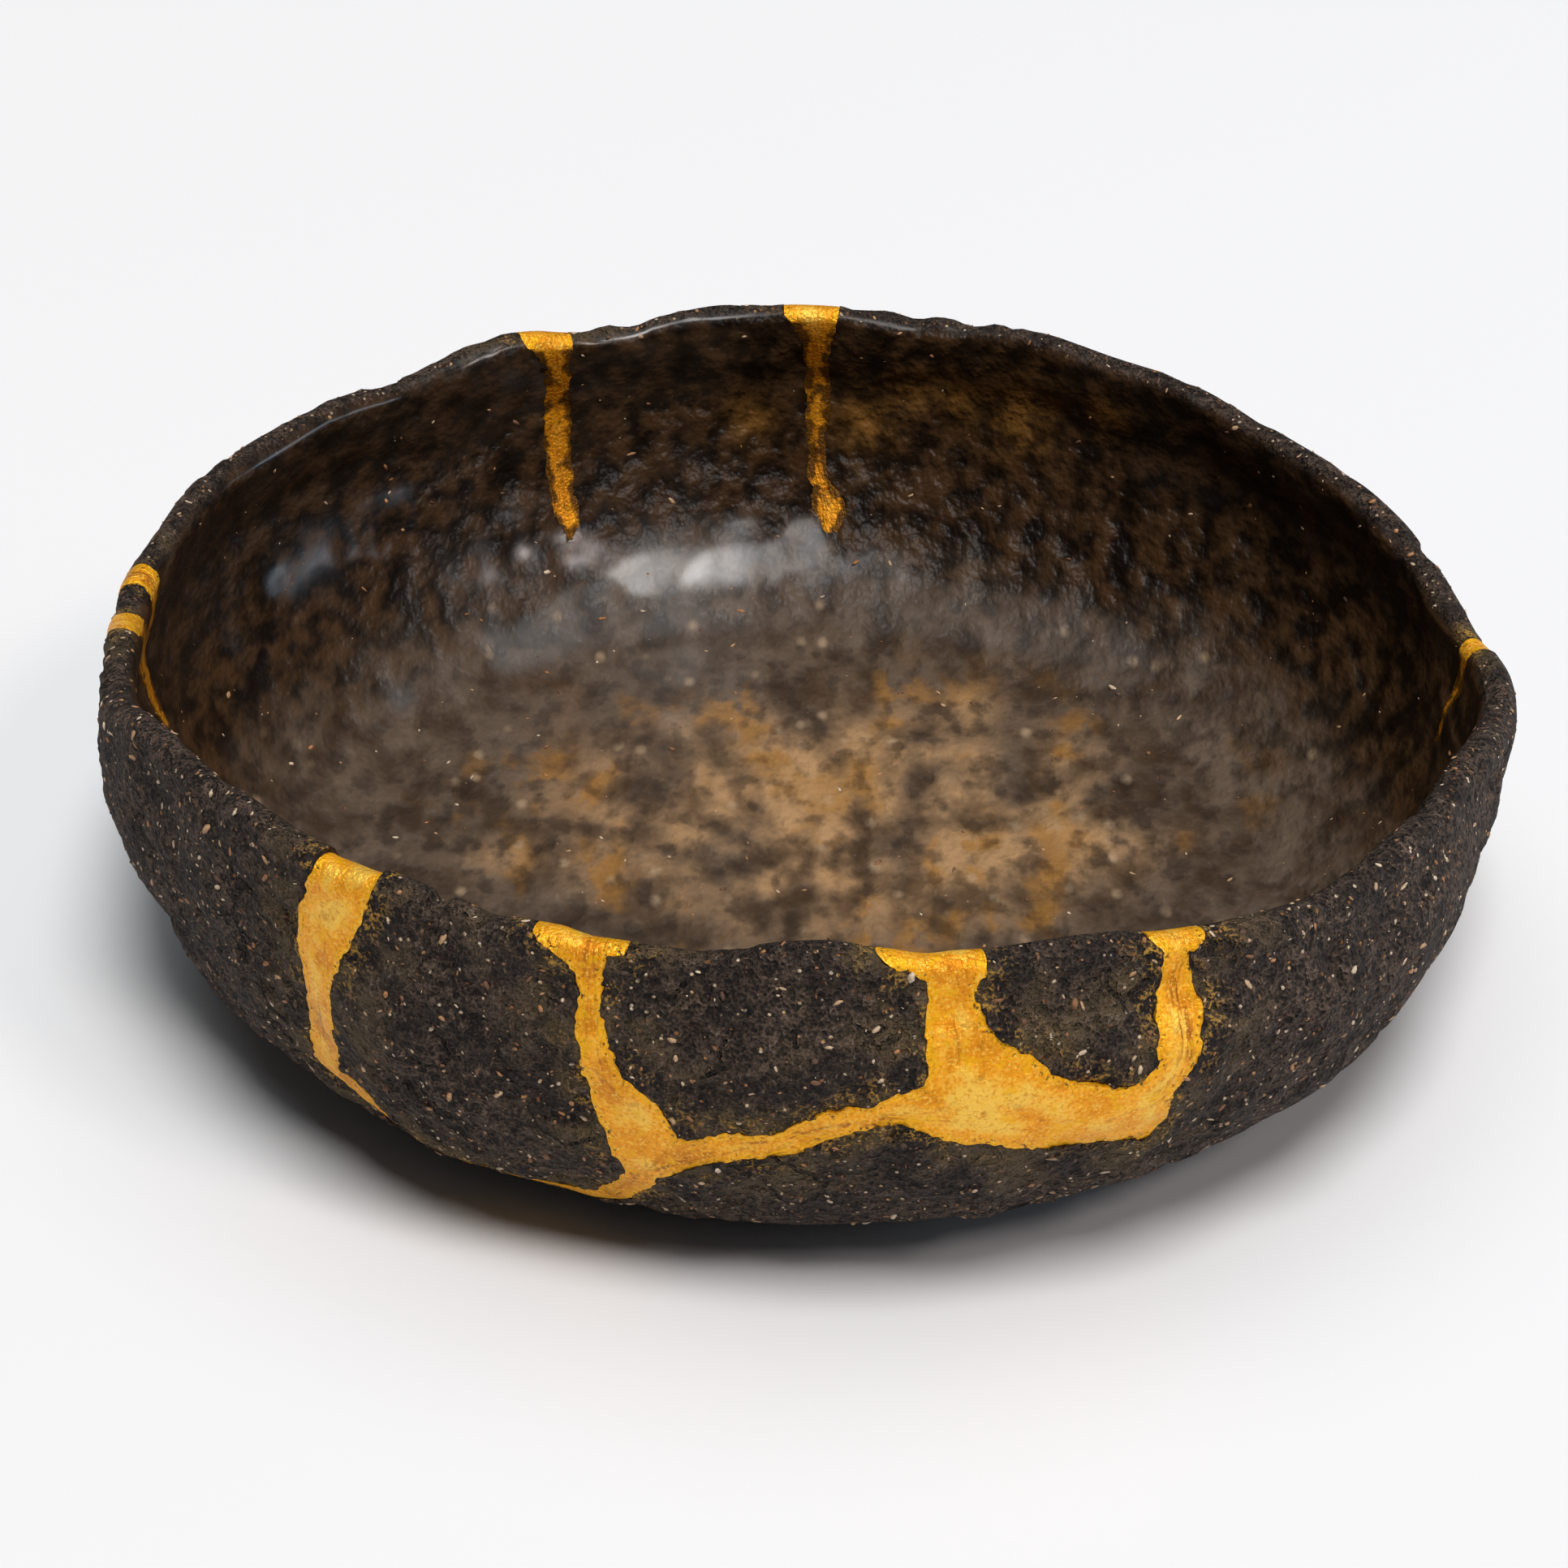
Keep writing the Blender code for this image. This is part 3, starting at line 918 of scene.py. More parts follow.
def loose_labels(count: int, triangles: np.ndarray) -> np.ndarray:
    """A label for each corner that is the same all over one loose piece.

    Args:
        count: number of corners.
        triangles: N x 3 corner numbers.

    Returns:
        One label for each corner.
    """
    parent = list(range(count))

    def top(k: int) -> int:
        """The corner that stands for a corner's piece.

        Args:
            k: number of the corner.

        Returns:
            Number of the corner that stands for it.
        """
        while parent[k] != k:
            parent[k] = parent[parent[k]]
            k = parent[k]
        return k

    for a, b, c in triangles.tolist():
        root = top(a)
        for other in (top(b), top(c)):
            if other != root:
                parent[other] = root
    return np.array([top(k) for k in range(count)])


def loose_pieces(places: np.ndarray, triangles: np.ndarray) -> list[Shape]:
    """Splits a mesh into its loose pieces, the largest first.

    Args:
        places: corners.
        triangles: corner numbers.

    Returns:
        Places and triangles of each piece.
    """
    face_labels = loose_labels(len(places), triangles)[triangles[:, 0]]
    pieces = []
    for label in np.unique(face_labels):
        used, number = np.unique(triangles[face_labels == label], return_inverse=True)
        pieces.append((places[used], number.reshape(-1, 3)))
    return sorted(pieces, key=lambda piece: -len(piece[1]))


def joined(how: str, turned: bool = False) -> Callable[["Wire", "Wire | float"], "Wire"]:
    """Makes an operator that joins two numbers with one Math node.

    Args:
        how: the node's operation.
        turned: whether the wire is the second of the two.

    Returns:
        The operator.
    """

    def operator(self: "Wire", other: "Wire | float") -> "Wire":
        """The two numbers joined."""
        return self.board.math(how, other, self) if turned else self.board.math(how, self, other)

    return operator


@dataclass(frozen=True)
class Wire:
    """A number carried between nodes, with arithmetic."""

    board: "Nodes"
    socket: NodeSocket

    __add__ = joined("ADD")
    __radd__ = joined("ADD", turned=True)
    __sub__ = joined("SUBTRACT")
    __rsub__ = joined("SUBTRACT", turned=True)
    __mul__ = joined("MULTIPLY")
    __rmul__ = joined("MULTIPLY", turned=True)
    __truediv__ = joined("DIVIDE")
    __rtruediv__ = joined("DIVIDE", turned=True)
    __pow__ = joined("POWER")
    __rpow__ = joined("POWER", turned=True)

    def rising(self, low: float, high: float) -> "Wire":
        """A soft step, the other way round if high is lower.

        Args:
            low: where it is 0.
            high: where it is 1.

        Returns:
            The step.
        """
        turned = high < low
        node = self.board.add(
            "ShaderNodeMapRange",
            {
                "Value": self,
                "From Min": min(low, high),
                "From Max": max(low, high),
                "To Min": 1.0 if turned else 0.0,
                "To Max": 0.0 if turned else 1.0,
            },
            interpolation_type="SMOOTHSTEP",
        )
        return Wire(self.board, node.outputs["Result"])


@dataclass
class Nodes:
    """A tree of nodes that is added to."""

    tree: NodeTree

    def add(self, kind: str, sockets: dict | None = None, **settings: object) -> Node:
        """Adds any node.

        Args:
            kind: its type.
            sockets: its inputs by name or number, each a value, a wire or a socket.
            **settings: its properties, which are set first.

        Returns:
            The node.
        """
        node = self.tree.nodes.new(kind)
        for key, value in settings.items():
            setattr(node, key, value)
        for key, value in (sockets or {}).items():
            self.plug(node.inputs[key], value)
        return node

    def plug(self, entry: NodeSocket, value: object) -> None:
        """Sets an input to a value or links it.

        Args:
            entry: the input.
            value: a value, a wire or a socket.
        """
        if isinstance(value, Wire):
            value = value.socket
        if isinstance(value, NodeSocket):
            self.tree.links.new(value, entry)
        else:
            entry.default_value = (*value, 1.0) if entry.type == "RGBA" else value

    def math(self, how: str, first: Wire | float, second: Wire | float) -> Wire:
        """One sum of two numbers."""
        node = self.add("ShaderNodeMath", {0: first, 1: second}, operation=how)
        return Wire(self, node.outputs[0])


class Board(Nodes):
    """A material's shader nodes. Its place is in the object's own metres."""

    def __init__(self, name: str) -> None:
        """Starts a material without a shader.

        Args:
            name: name of the material.
        """
        self.material = bpy.data.materials.new(name)
        self.material.use_nodes = True
        super().__init__(self.material.node_tree)
        self.tree.nodes.remove(self.tree.nodes["Principled BSDF"])
        self.place = self.add("ShaderNodeTexCoord").outputs["Object"]

    def measure(self, name: str) -> Wire:
        """A number kept on the mesh."""
        node = self.add("ShaderNodeAttribute", attribute_name=name)
        return Wire(self, node.outputs["Fac"])

    def noise(self, width: float, detail: float = 3.0, place: NodeSocket | None = None) -> Wire:
        """Cloudy noise from about 0.3 to 0.7.

        Args:
            width: size of its clouds in metres.
            detail: how many finer layers it has.
            place: where it is read, if not at the object's own places.

        Returns:
            The noise.
        """
        sockets = {"Vector": place or self.place, "Scale": 1 / width, "Detail": detail}
        return Wire(self, self.add("ShaderNodeTexNoise", sockets).outputs["Fac"])

    def specks(self, width: float, place: NodeSocket) -> tuple[Wire, Wire]:
        """Scattered cells.

        Args:
            width: distance between the cells in metres.
            place: where they are read.

        Returns:
            Distance from the nearest cell's middle in cell widths, and the cell's own number.
        """
        node = self.add("ShaderNodeTexVoronoi", {"Vector": place, "Scale": 1 / width})
        parts = self.add("ShaderNodeSeparateColor", {0: node.outputs["Color"]})
        return Wire(self, node.outputs["Distance"]), Wire(self, parts.outputs[0])

    def blend(self, first: object, second: object, share: Wire | float) -> NodeSocket:
        """Two colours mixed.

        Args:
            first: colour or socket at share 0.
            second: colour or socket at share 1.
            share: how much of the second.

        Returns:
            The mixed colour.
        """
        sockets = {"Factor": share, 6: first, 7: second}
        return self.add("ShaderNodeMix", sockets, data_type="RGBA").outputs[2]

    def ramp(self, share: Wire, stops: tuple[tuple[float, Colour], ...]) -> NodeSocket:
        """Colours along a scale.

        Args:
            share: place on the scale from 0 to 1.
            stops: place and colour of each stop.

        Returns:
            The colour.
        """
        node = self.add("ShaderNodeValToRGB", {0: share})
        band = node.color_ramp
        while len(band.elements) < len(stops):
            band.elements.new(0.5)
        for element, (place, colour) in zip(band.elements, stops):
            element.position = place
            element.color = (*colour, 1.0)
        return node.outputs[0]

    def bump(self, *layers: tuple[Wire, float]) -> NodeSocket:
        """Normals of height maps that are laid over each other.

        Args:
            *layers: each map, from 0 to 1, with the metres between its lowest and highest.

        Returns:
            The normals.
        """
        under = {}
        for height, depth in layers:
            node = self.add("ShaderNodeBump", {"Height": height, "Distance": depth, **under})
            under = {"Normal": node.outputs[0]}
        return under["Normal"]

    def surface(self, **sockets: object) -> NodeSocket:
        """A shader with its inputs set, with _ for a space in a name."""
        named = {key.replace("_", " "): value for key, value in sockets.items()}
        return self.add("ShaderNodeBsdfPrincipled", named).outputs[0]

    def show(self, shader: NodeSocket) -> Material:
        """Gives the material its shader."""
        self.plug(self.tree.nodes["Material Output"].inputs["Surface"], shader)
        return self.material


@dataclass(frozen=True)
class ClayFinish:
    """Matte grainy charcoal clay outside, satin brown-black slip inside.

    The middle and the reach of the warm patch on the floor are across and in depth. The wall's
    slip starts between two heights, and the shine on it fades in between two places across.
    """

    dark: Colour = (0.012, 0.009, 0.008)
    brown: Colour = (0.122, 0.081, 0.058)
    olive: Colour = (0.125, 0.085, 0.036)
    dust_and_highlight: Colour = (0.21, 0.165, 0.13)
    speck_tints: tuple[tuple[float, Colour], ...] = (
        (0.0, (0.26, 0.10, 0.03)), (0.45, (0.50, 0.27, 0.10)), (0.9, (0.78, 0.62, 0.44)),
    )
    slip_dark: Colour = (0.006, 0.0028, 0.0012)
    slip_brown: Colour = (0.054, 0.026, 0.010)
    floor_brown: Colour = (0.046, 0.027, 0.015)
    floor_grey: Colour = (0.112, 0.077, 0.052)
    floor_tan: Colour = (0.42, 0.245, 0.115)
    floor_dark: Colour = (0.020, 0.013, 0.009)
    pale: Colour = (0.48, 0.34, 0.21)
    amber: Colour = (0.42, 0.19, 0.032)
    gold: Colour = (0.60, 0.32, 0.03)
    coarse: float = 1.3 * MM
    coarse_depth: float = 1.9 * MM
    fine: float = 0.45 * MM
    fine_depth: float = 0.75 * MM
    clouds: float = 7.0 * MM
    speck_gap: float = 0.9 * MM
    speck_patches: float = 1.4 * MM
    gilt_patches: float = 5.0 * MM
    crack_gap: float = 9.0 * MM
    crack_patches: float = 14.0 * MM
    wiped: Place = (1.0, 0.6, 1.0)
    small: float = 3.4 * MM
    small_depth: float = 1.3 * MM
    mottle: float = 6.0 * MM
    mottle_depth: float = 2.2 * MM
    wide: float = 11.0 * MM
    warm_middle: tuple[float, float] = (6.0 * MM, 17.0 * MM)
    warm_reach: tuple[float, float] = (48.0 * MM, 36.0 * MM)
    fleck_gap: float = 3.4 * MM
    wall_wander: float = 10.0 * MM
    wall_edge: tuple[float, float] = (13.0 * MM, 25.0 * MM)
    shine_edge: tuple[float, float] = (-4.0 * MM, -18.0 * MM)

    def bare(self, board: Board) -> NodeSocket:
        """The rough outside, with painted shade in its crevices and painted highlights on the tops of
        its grains.

        Args:
            board: the material's nodes.

        Returns:
            The shader.
        """
        near = board.measure("from_seam")
        coarse = board.noise(self.coarse, 2.0)
        fine = board.noise(self.fine, 2.0)
        clouds = board.noise(self.clouds, 2.0)
        grains = coarse * 0.45 + fine * 0.55
        # Painted shade, with the clay's own tone: darker where the bump's grains are low, in the
        # crevices, and browner on their tops.
        crevice_shade_and_tone = grains.rising(0.38, 0.64) * (0.45 + 0.55 * clouds.rising(0.35, 0.6))
        colour = board.blend(self.dark, self.brown, crevice_shade_and_tone)
        tinge = clouds.rising(0.42, 0.60) * near.rising(14.0, 2.0)
        colour = board.blend(colour, self.olive, tinge * 0.55)
        # Painted highlight, partly dust: the highest points of the bump's grains are paler.
        colour = board.blend(colour, self.dust_and_highlight, grains.rising(0.58, 0.68) * 0.5)
        gap, number = board.specks(self.speck_gap, board.place)
        speck = gap.rising(0.34, 0.18) * number.rising(0.84, 0.86)
        tint = board.ramp(board.noise(self.speck_patches, 0.0).rising(0.35, 0.65), self.speck_tints)
        colour = board.blend(colour, tint, speck * 0.9)
        patches = board.noise(self.gilt_patches, 1.0).rising(0.44, 0.60)
        dabs = (fine * 0.6 + coarse * 0.4).rising(0.50, 0.60)
        colour = board.blend(colour, self.gold, dabs * patches * near.rising(5.0, 0.3) * 0.65)
        colour = board.blend(colour, self.floor_dark, near.rising(0.55, 0.05) * 0.75)
        cells = board.add(
            "ShaderNodeTexVoronoi",
            {"Vector": board.place, "Scale": 1 / self.crack_gap},
            feature="DISTANCE_TO_EDGE",
        )
        cracked = board.noise(self.crack_patches, 1.0).rising(0.60, 0.66)
        crack = Wire(board, cells.outputs["Distance"]).rising(0.045, 0.0) * cracked
        colour = board.blend(colour, self.floor_dark, crack * 0.8)
        normals = board.bump((coarse - 0.6 * crack, self.coarse_depth), (fine, self.fine_depth))
        return board.surface(
            Base_Color=colour, Roughness=0.82, Normal=normals, Specular_IOR_Level=0.20
        )

    def slipped(self, board: Board) -> NodeSocket:
        """The slip on the inner walls and the worn floor.

        Args:
            board: the material's nodes.

        Returns:
            The shader.
        """
        parts = board.add("ShaderNodeSeparateXYZ", {0: board.place})
        across, depth, height = (Wire(board, parts.outputs[k]) for k in range(3))
        wiped = {0: board.place, 1: self.wiped}
        place = board.add("ShaderNodeVectorMath", wiped, operation="MULTIPLY").outputs[0]
        small = board.noise(self.small, place=place)
        wide = board.noise(self.wide, place=place)
        mottle = board.noise(self.mottle, place=place)
        wall = board.blend(self.slip_dark, self.slip_brown, small.rising(0.36, 0.68))
        blots = board.measure("blot") * (0.35 + 0.65 * small.rising(0.35, 0.6))
        wall = board.blend(wall, self.amber, blots * 0.45)
        floor = board.blend(self.floor_brown, self.floor_grey, mottle.rising(0.30, 0.66))
        reach = ((across - self.warm_middle[0]) / self.warm_reach[0]) ** 2.0
        reach = reach + ((depth - self.warm_middle[1]) / self.warm_reach[1]) ** 2.0
        warm = wide.rising(0.32, 0.60) * reach.rising(1.3, 0.15)
        warm = warm * (0.30 + 0.70 * mottle.rising(0.34, 0.66))
        floor = board.blend(floor, self.floor_tan, warm)
        ember = mottle.rising(0.60, 0.50) * wide.rising(0.52, 0.66) * reach.rising(2.2, 0.5)
        floor = board.blend(floor, self.amber, ember * 0.55)
        floor = board.blend(floor, self.floor_tan, blots * 0.7)
        gap, number = board.specks(self.fleck_gap, place)
        pale = gap.rising(0.36, 0.05) * number.rising(0.78, 0.84)
        floor = board.blend(floor, self.pale, pale * 0.5)
        floor = board.blend(floor, self.floor_dark, small.rising(0.53, 0.33) * 0.58)
        edge = height + wide * self.wall_wander
        colour = board.blend(floor, wall, edge.rising(*self.wall_edge))
        shine = 0.28 + 0.72 * across.rising(*self.shine_edge)
        coat = shine * (0.58 + 0.42 * wide.rising(0.38, 0.54))
        normals = board.bump((small, self.small_depth), (mottle, self.mottle_depth))
        return board.surface(
            Base_Color=colour, Roughness=0.42, Normal=normals, Specular_IOR_Level=0.14,
            Coat_Weight=coat, Coat_Roughness=0.21,
        )

    def build(self) -> Material:
        """The clay's material, bare outside and slipped inside.

        Returns:
            The material.
        """
        board = Board("black_clay")
        within = board.measure("inside").rising(0.55, 0.95)
        sides = {0: within, 1: self.bare(board), 2: self.slipped(board)}
        return board.show(board.add("ShaderNodeMixShader", sides).outputs[0])


@dataclass(frozen=True)
class GrogFinish:
    """Fired crumbs in the clay: cream, tan, orange and rust."""

    tints: tuple[tuple[float, Colour], ...] = (
        (0.0, (0.06, 0.035, 0.022)), (0.25, (0.20, 0.085, 0.035)), (0.45, (0.46, 0.20, 0.07)),
        (0.68, (0.54, 0.34, 0.18)), (0.95, (0.74, 0.58, 0.41)),
    )
    dirt: Colour = (0.05, 0.035, 0.025)
    dirt_patches: float = 0.5 * MM

    def build(self) -> Material:
        """The crumbs' material.

        Returns:
            The material.
        """
        board = Board("grog_crumbs")
        colour = board.ramp(board.measure("tint"), self.tints)
        worn = board.noise(self.dirt_patches, 2.0).rising(0.35, 0.65)
        colour = board.blend(colour, self.dirt, worn * 0.35)
        return board.show(board.surface(Base_Color=colour, Roughness=0.7))


@dataclass(frozen=True)
class LacquerFinish:
    """Gold-powdered lacquer laid on with a small brush.

    The brush's streaks are as wide as said in millimetres and stretched along the stroke.
    """

    amber: Colour = (1.0, 0.41, 0.016)
    bright: Colour = (0.93, 0.46, 0.006)
    orange: Colour = (0.70, 0.24, 0.007)
    deep: Colour = (0.33, 0.085, 0.003)
    pale: Colour = (1.0, 0.60, 0.085)
    slip: Colour = (0.030, 0.015, 0.006)
    pore: Colour = (0.03, 0.02, 0.012)
    stretch: float = 0.12
    section: float = 0.3
    streaks: float = 0.5
    streak_depth: float = 0.35 * MM
    broad_streaks: float = 2.2
    powder: float = 0.45 * MM
    powder_depth: float = 0.30 * MM
    powder_rough: tuple[tuple[float, Colour], ...] = (
        (0.3, (0.28, 0.28, 0.28)), (0.7, (0.50, 0.50, 0.50)),
    )
    clouds: float = 5.0 * MM
    cloud_depth: float = 0.8 * MM
    pores: float = 0.6 * MM
    stains: float = 2.2 * MM
    worn: float = 2.4 * MM

    def build(self) -> Material:
        """The lacquer's material.

        Returns:
            The material.
        """
        board = Board("gold_lacquer")
        names = ("from_edge", "across", "along", "own", "inside", "narrow")
        edge, across, along, own, inside, narrow = (board.measure(name) for name in names)
        brush = {0: across, 1: along * self.stretch, 2: self.section}
        stroke = board.add("ShaderNodeCombineXYZ", brush).outputs[0]
        streak = board.noise(self.streaks, place=stroke)
        broad = board.noise(self.broad_streaks, 2.0, stroke)
        powder = board.noise(self.powder)
        clouds = board.noise(self.clouds)
        # Painted highlight, partly the gilt's own tone: paler where the clouds, which also raise the
        # bump, are high.
        colour = board.blend(self.amber, self.pale, clouds.rising(0.42, 0.62) * edge.rising(0.8, 2.4))
        colour = board.blend(colour, self.orange, clouds.rising(0.54, 0.36) * (0.40 + 0.50 * narrow))
        middle = board.math("ABSOLUTE", across, 0.0).rising(2.0, 0.3)
        dark = streak.rising(0.48, 0.62) * (0.10 + 0.90 * middle * broad.rising(0.38, 0.6))
        dark = dark * (own * edge.rising(0.2, 1.2))
        colour = board.blend(colour, self.deep, dark * (0.22 + 0.75 * narrow))
        colour = board.blend(colour, self.bright, edge.rising(1.1, 0.3) * (0.35 + 0.5 * powder))
        colour = board.blend(colour, self.orange, powder.rising(0.52, 0.68) * 0.66)
        colour = board.blend(colour, self.pale, powder.rising(0.48, 0.34) * 0.75)
        pores = board.noise(self.pores, 2.0).rising(0.41, 0.32) * edge.rising(1.6, 0.1)
        colour = board.blend(colour, self.pore, pores * 0.9)
        stains = board.noise(self.stains)
        colour = board.blend(colour, self.deep, stains.rising(0.60, 0.74) * (0.30 + 0.45 * narrow))
        colour = board.blend(colour, self.bright, stains.rising(0.44, 0.34) * 0.6)
        within = inside.rising(0.9, 0.99)
        colour = board.blend(colour, self.orange, within * 0.65)
        thin = (board.noise(self.worn, 2.0) + 0.26 * edge.rising(1.5, 0.0)).rising(0.52, 0.72)
        colour = board.blend(colour, self.slip, thin * within * 0.85)
        normals = board.bump(
            (powder, self.powder_depth),
            (streak * own * narrow, self.streak_depth),
            (clouds, self.cloud_depth),
        )
        gilded = board.surface(
            Base_Color=colour, Roughness=board.ramp(powder, self.powder_rough), Normal=normals,
            Metallic=0.38, Specular_IOR_Level=0.16,
        )
        return board.show(gilded)


@dataclass(frozen=True)
class Crumbs:
    """How many fired crumbs lie on a square metre of clay, their sizes and how they lie.

    A crumb is a ball of some radius that is stretched and turned by something between the least
    and the most, in radians, and pushed about by a ragged noise. The higher the rarity, the fewer
    are large.
    """

    crowding: float = 110000.0
    smallest: float = 0.13 * MM
    largest: float = 0.52 * MM
    rarity: float = 2.2
    least_stretch: Place = (0.9, 0.45, 0.28)
    most_stretch: Place = (2.1, 0.95, 0.48)
    least_turn: Place = (-0.3, -0.3, 0.0)
    most_turn: Place = (0.3, 0.3, 6.28)
    rag_scale: float = 3300.0
    rag: float = 0.35 * MM
    stretch_seed: int = 7
    turn_seed: int = 3
    tint_seed: int = 12


class Scatter(Nodes):
    """Geometry Nodes that press crumbs into the outside of a clay piece."""

    def __init__(self, material: Material, crumbs: Crumbs) -> None:
        """Builds the node tree.

        Args:
            material: finish of the crumbs.
            crumbs: their sizes.
        """
        super().__init__(bpy.data.node_groups.new("press_in_crumbs", "GeometryNodeTree"))
        face = self.tree.interface
        face.new_socket("Geometry", in_out="INPUT", socket_type="NodeSocketGeometry")
        for name in ("Crowding", "Smallest", "Largest"):
            entry = face.new_socket(name, in_out="INPUT", socket_type="NodeSocketFloat")
            entry.default_value = getattr(crumbs, name.lower())
        face.new_socket("Seed", in_out="INPUT", socket_type="NodeSocketInt")
        face.new_socket("Geometry", in_out="OUTPUT", socket_type="NodeSocketGeometry")
        lying = self.pressed_in(self.add("NodeGroupInput").outputs, crumbs)
        dressed = {"Geometry": self.ragged(lying, crumbs), "Material": material}
        dressed = self.add("GeometryNodeSetMaterial", dressed)
        self.add("NodeGroupOutput", {0: dressed.outputs[0]})

    def random(
        self, least: float | Place, most: float | Place, seed: int | NodeSocket
    ) -> NodeSocket:
        """A random number, or three, for each crumb.

        Args:
            least: the lowest.
            most: the highest.
            seed: number that picks them.

        Returns:
            The numbers.
        """
        several = isinstance(least, tuple)
        first = 0 if several else 2
        node = self.add(
            "FunctionNodeRandomValue",
            {first: least, first + 1: most, "Seed": seed},
            data_type="FLOAT_VECTOR" if several else "FLOAT",
        )
        return node.outputs[0 if several else 1]

    def scaled(self, vector: NodeSocket, by: object) -> NodeSocket:
        """A vector times a number."""
        sockets = {0: vector, "Scale": by}
        return self.add("ShaderNodeVectorMath", sockets, operation="SCALE").outputs[0]

    def pressed_in(self, given: bpy.types.bpy_prop_collection, crumbs: Crumbs) -> NodeSocket:
        """Stretched balls that lie on the bare clay.

        Args:
            given: the tree's inputs.
            crumbs: their sizes.

        Returns:
            The balls as instances, each with its tint.
        """
        bare = self.add("GeometryNodeInputNamedAttribute", {"Name": "bare"}, data_type="FLOAT")
        dots = self.add(
            "GeometryNodeDistributePointsOnFaces",
            {
                "Mesh": given["Geometry"],
                "Density": Wire(self, given["Crowding"]) * Wire(self, bare.outputs[0]),
                "Seed": given["Seed"],
            },
            distribute_method="RANDOM",
        )
        ball = self.add("GeometryNodeMeshIcoSphere", {"Radius": 1.0, "Subdivisions": 1})
        pick = Wire(self, self.random(0.0, 1.0, given["Seed"])) ** crumbs.rarity
        size = self.add(
            "ShaderNodeMapRange",
            {"Value": pick, "To Min": given["Smallest"], "To Max": given["Largest"]},
        )
        stretch = self.random(crumbs.least_stretch, crumbs.most_stretch, crumbs.stretch_seed)
        placed = self.add(
            "GeometryNodeInstanceOnPoints",
            {
                "Points": dots.outputs["Points"],
                "Instance": ball.outputs["Mesh"],
                "Rotation": dots.outputs["Rotation"],
                "Scale": self.scaled(stretch, size.outputs["Result"]),
            },
        )
        turn = self.random(crumbs.least_turn, crumbs.most_turn, crumbs.turn_seed)
        turned = self.add(
            "GeometryNodeRotateInstances",
            {"Instances": placed.outputs[0], "Rotation": turn, "Local Space": True},
        )
        tint = self.random(0.0, 1.0, crumbs.tint_seed)
        marked = self.add(
            "GeometryNodeStoreNamedAttribute",
            {"Geometry": turned.outputs[0], "Name": "tint", "Value": tint},
            data_type="FLOAT",
            domain="INSTANCE",
        )
        return marked.outputs[0]

    def ragged(self, lying: NodeSocket, crumbs: Crumbs) -> NodeSocket:
        """The balls as one mesh with ragged sides.

        Args:
            lying: the balls as instances.
            crumbs: their sizes.

        Returns:
            The mesh.
        """
        whole = self.add("GeometryNodeRealizeInstances", {0: lying})
        place = self.add("GeometryNodeInputPosition").outputs[0]
        rag = self.add(
            "ShaderNodeTexNoise", {"Vector": place, "Scale": crumbs.rag_scale, "Detail": 1.0}
        )
        middle = {0: rag.outputs["Color"], 1: (0.5, 0.5, 0.5)}
        shove = self.add("ShaderNodeVectorMath", middle, operation="SUBTRACT").outputs[0]
        moved = {"Geometry": whole.outputs[0], "Offset": self.scaled(shove, crumbs.rag)}
        return self.add("GeometryNodeSetPosition", moved).outputs[0]

    def press(self, host: Object, name: str, crowding: float, seed: int) -> Object:
        """Scatters crumbs over a piece.

        Args:
            host: the clay piece.
            name: name of the crumbs' object.
            crowding: most crumbs on a square metre.
            seed: number that picks where they lie.

        Returns:
            The crumbs as one piece.
        """
        made = object_of(name, host.data.copy())
        step = made.modifiers.new("crumbs", "NODES")
        step.node_group = self.tree
        values = {"Crowding": crowding, "Seed": seed}
        for item in self.tree.interface.items_tree:
            if item.name in values:
                step[item.identifier] = values[item.name]
        mesh = settled(made)
        made.modifiers.clear()
        made.data = mesh
        mesh.shade_smooth()
        return made


def keep(obj: Object, name: str, values: np.ndarray) -> None:
    """Keeps one number on each corner of a piece."""
    layer = obj.data.attributes.new(name, "FLOAT", "POINT")
    layer.data.foreach_set("value", values.astype(np.float32))


def gaps_to(tree: KDTree, places: np.ndarray) -> np.ndarray:
    """Distance from each place to the nearest one in a tree."""
    return np.array([tree.find(place)[2] for place in places])


def lengths_along(line: np.ndarray) -> np.ndarray:
    """Length from the start of a line to each of its points."""
    return np.concatenate([[0.0], np.cumsum(np.linalg.norm(np.diff(line, axis=0), axis=1))])


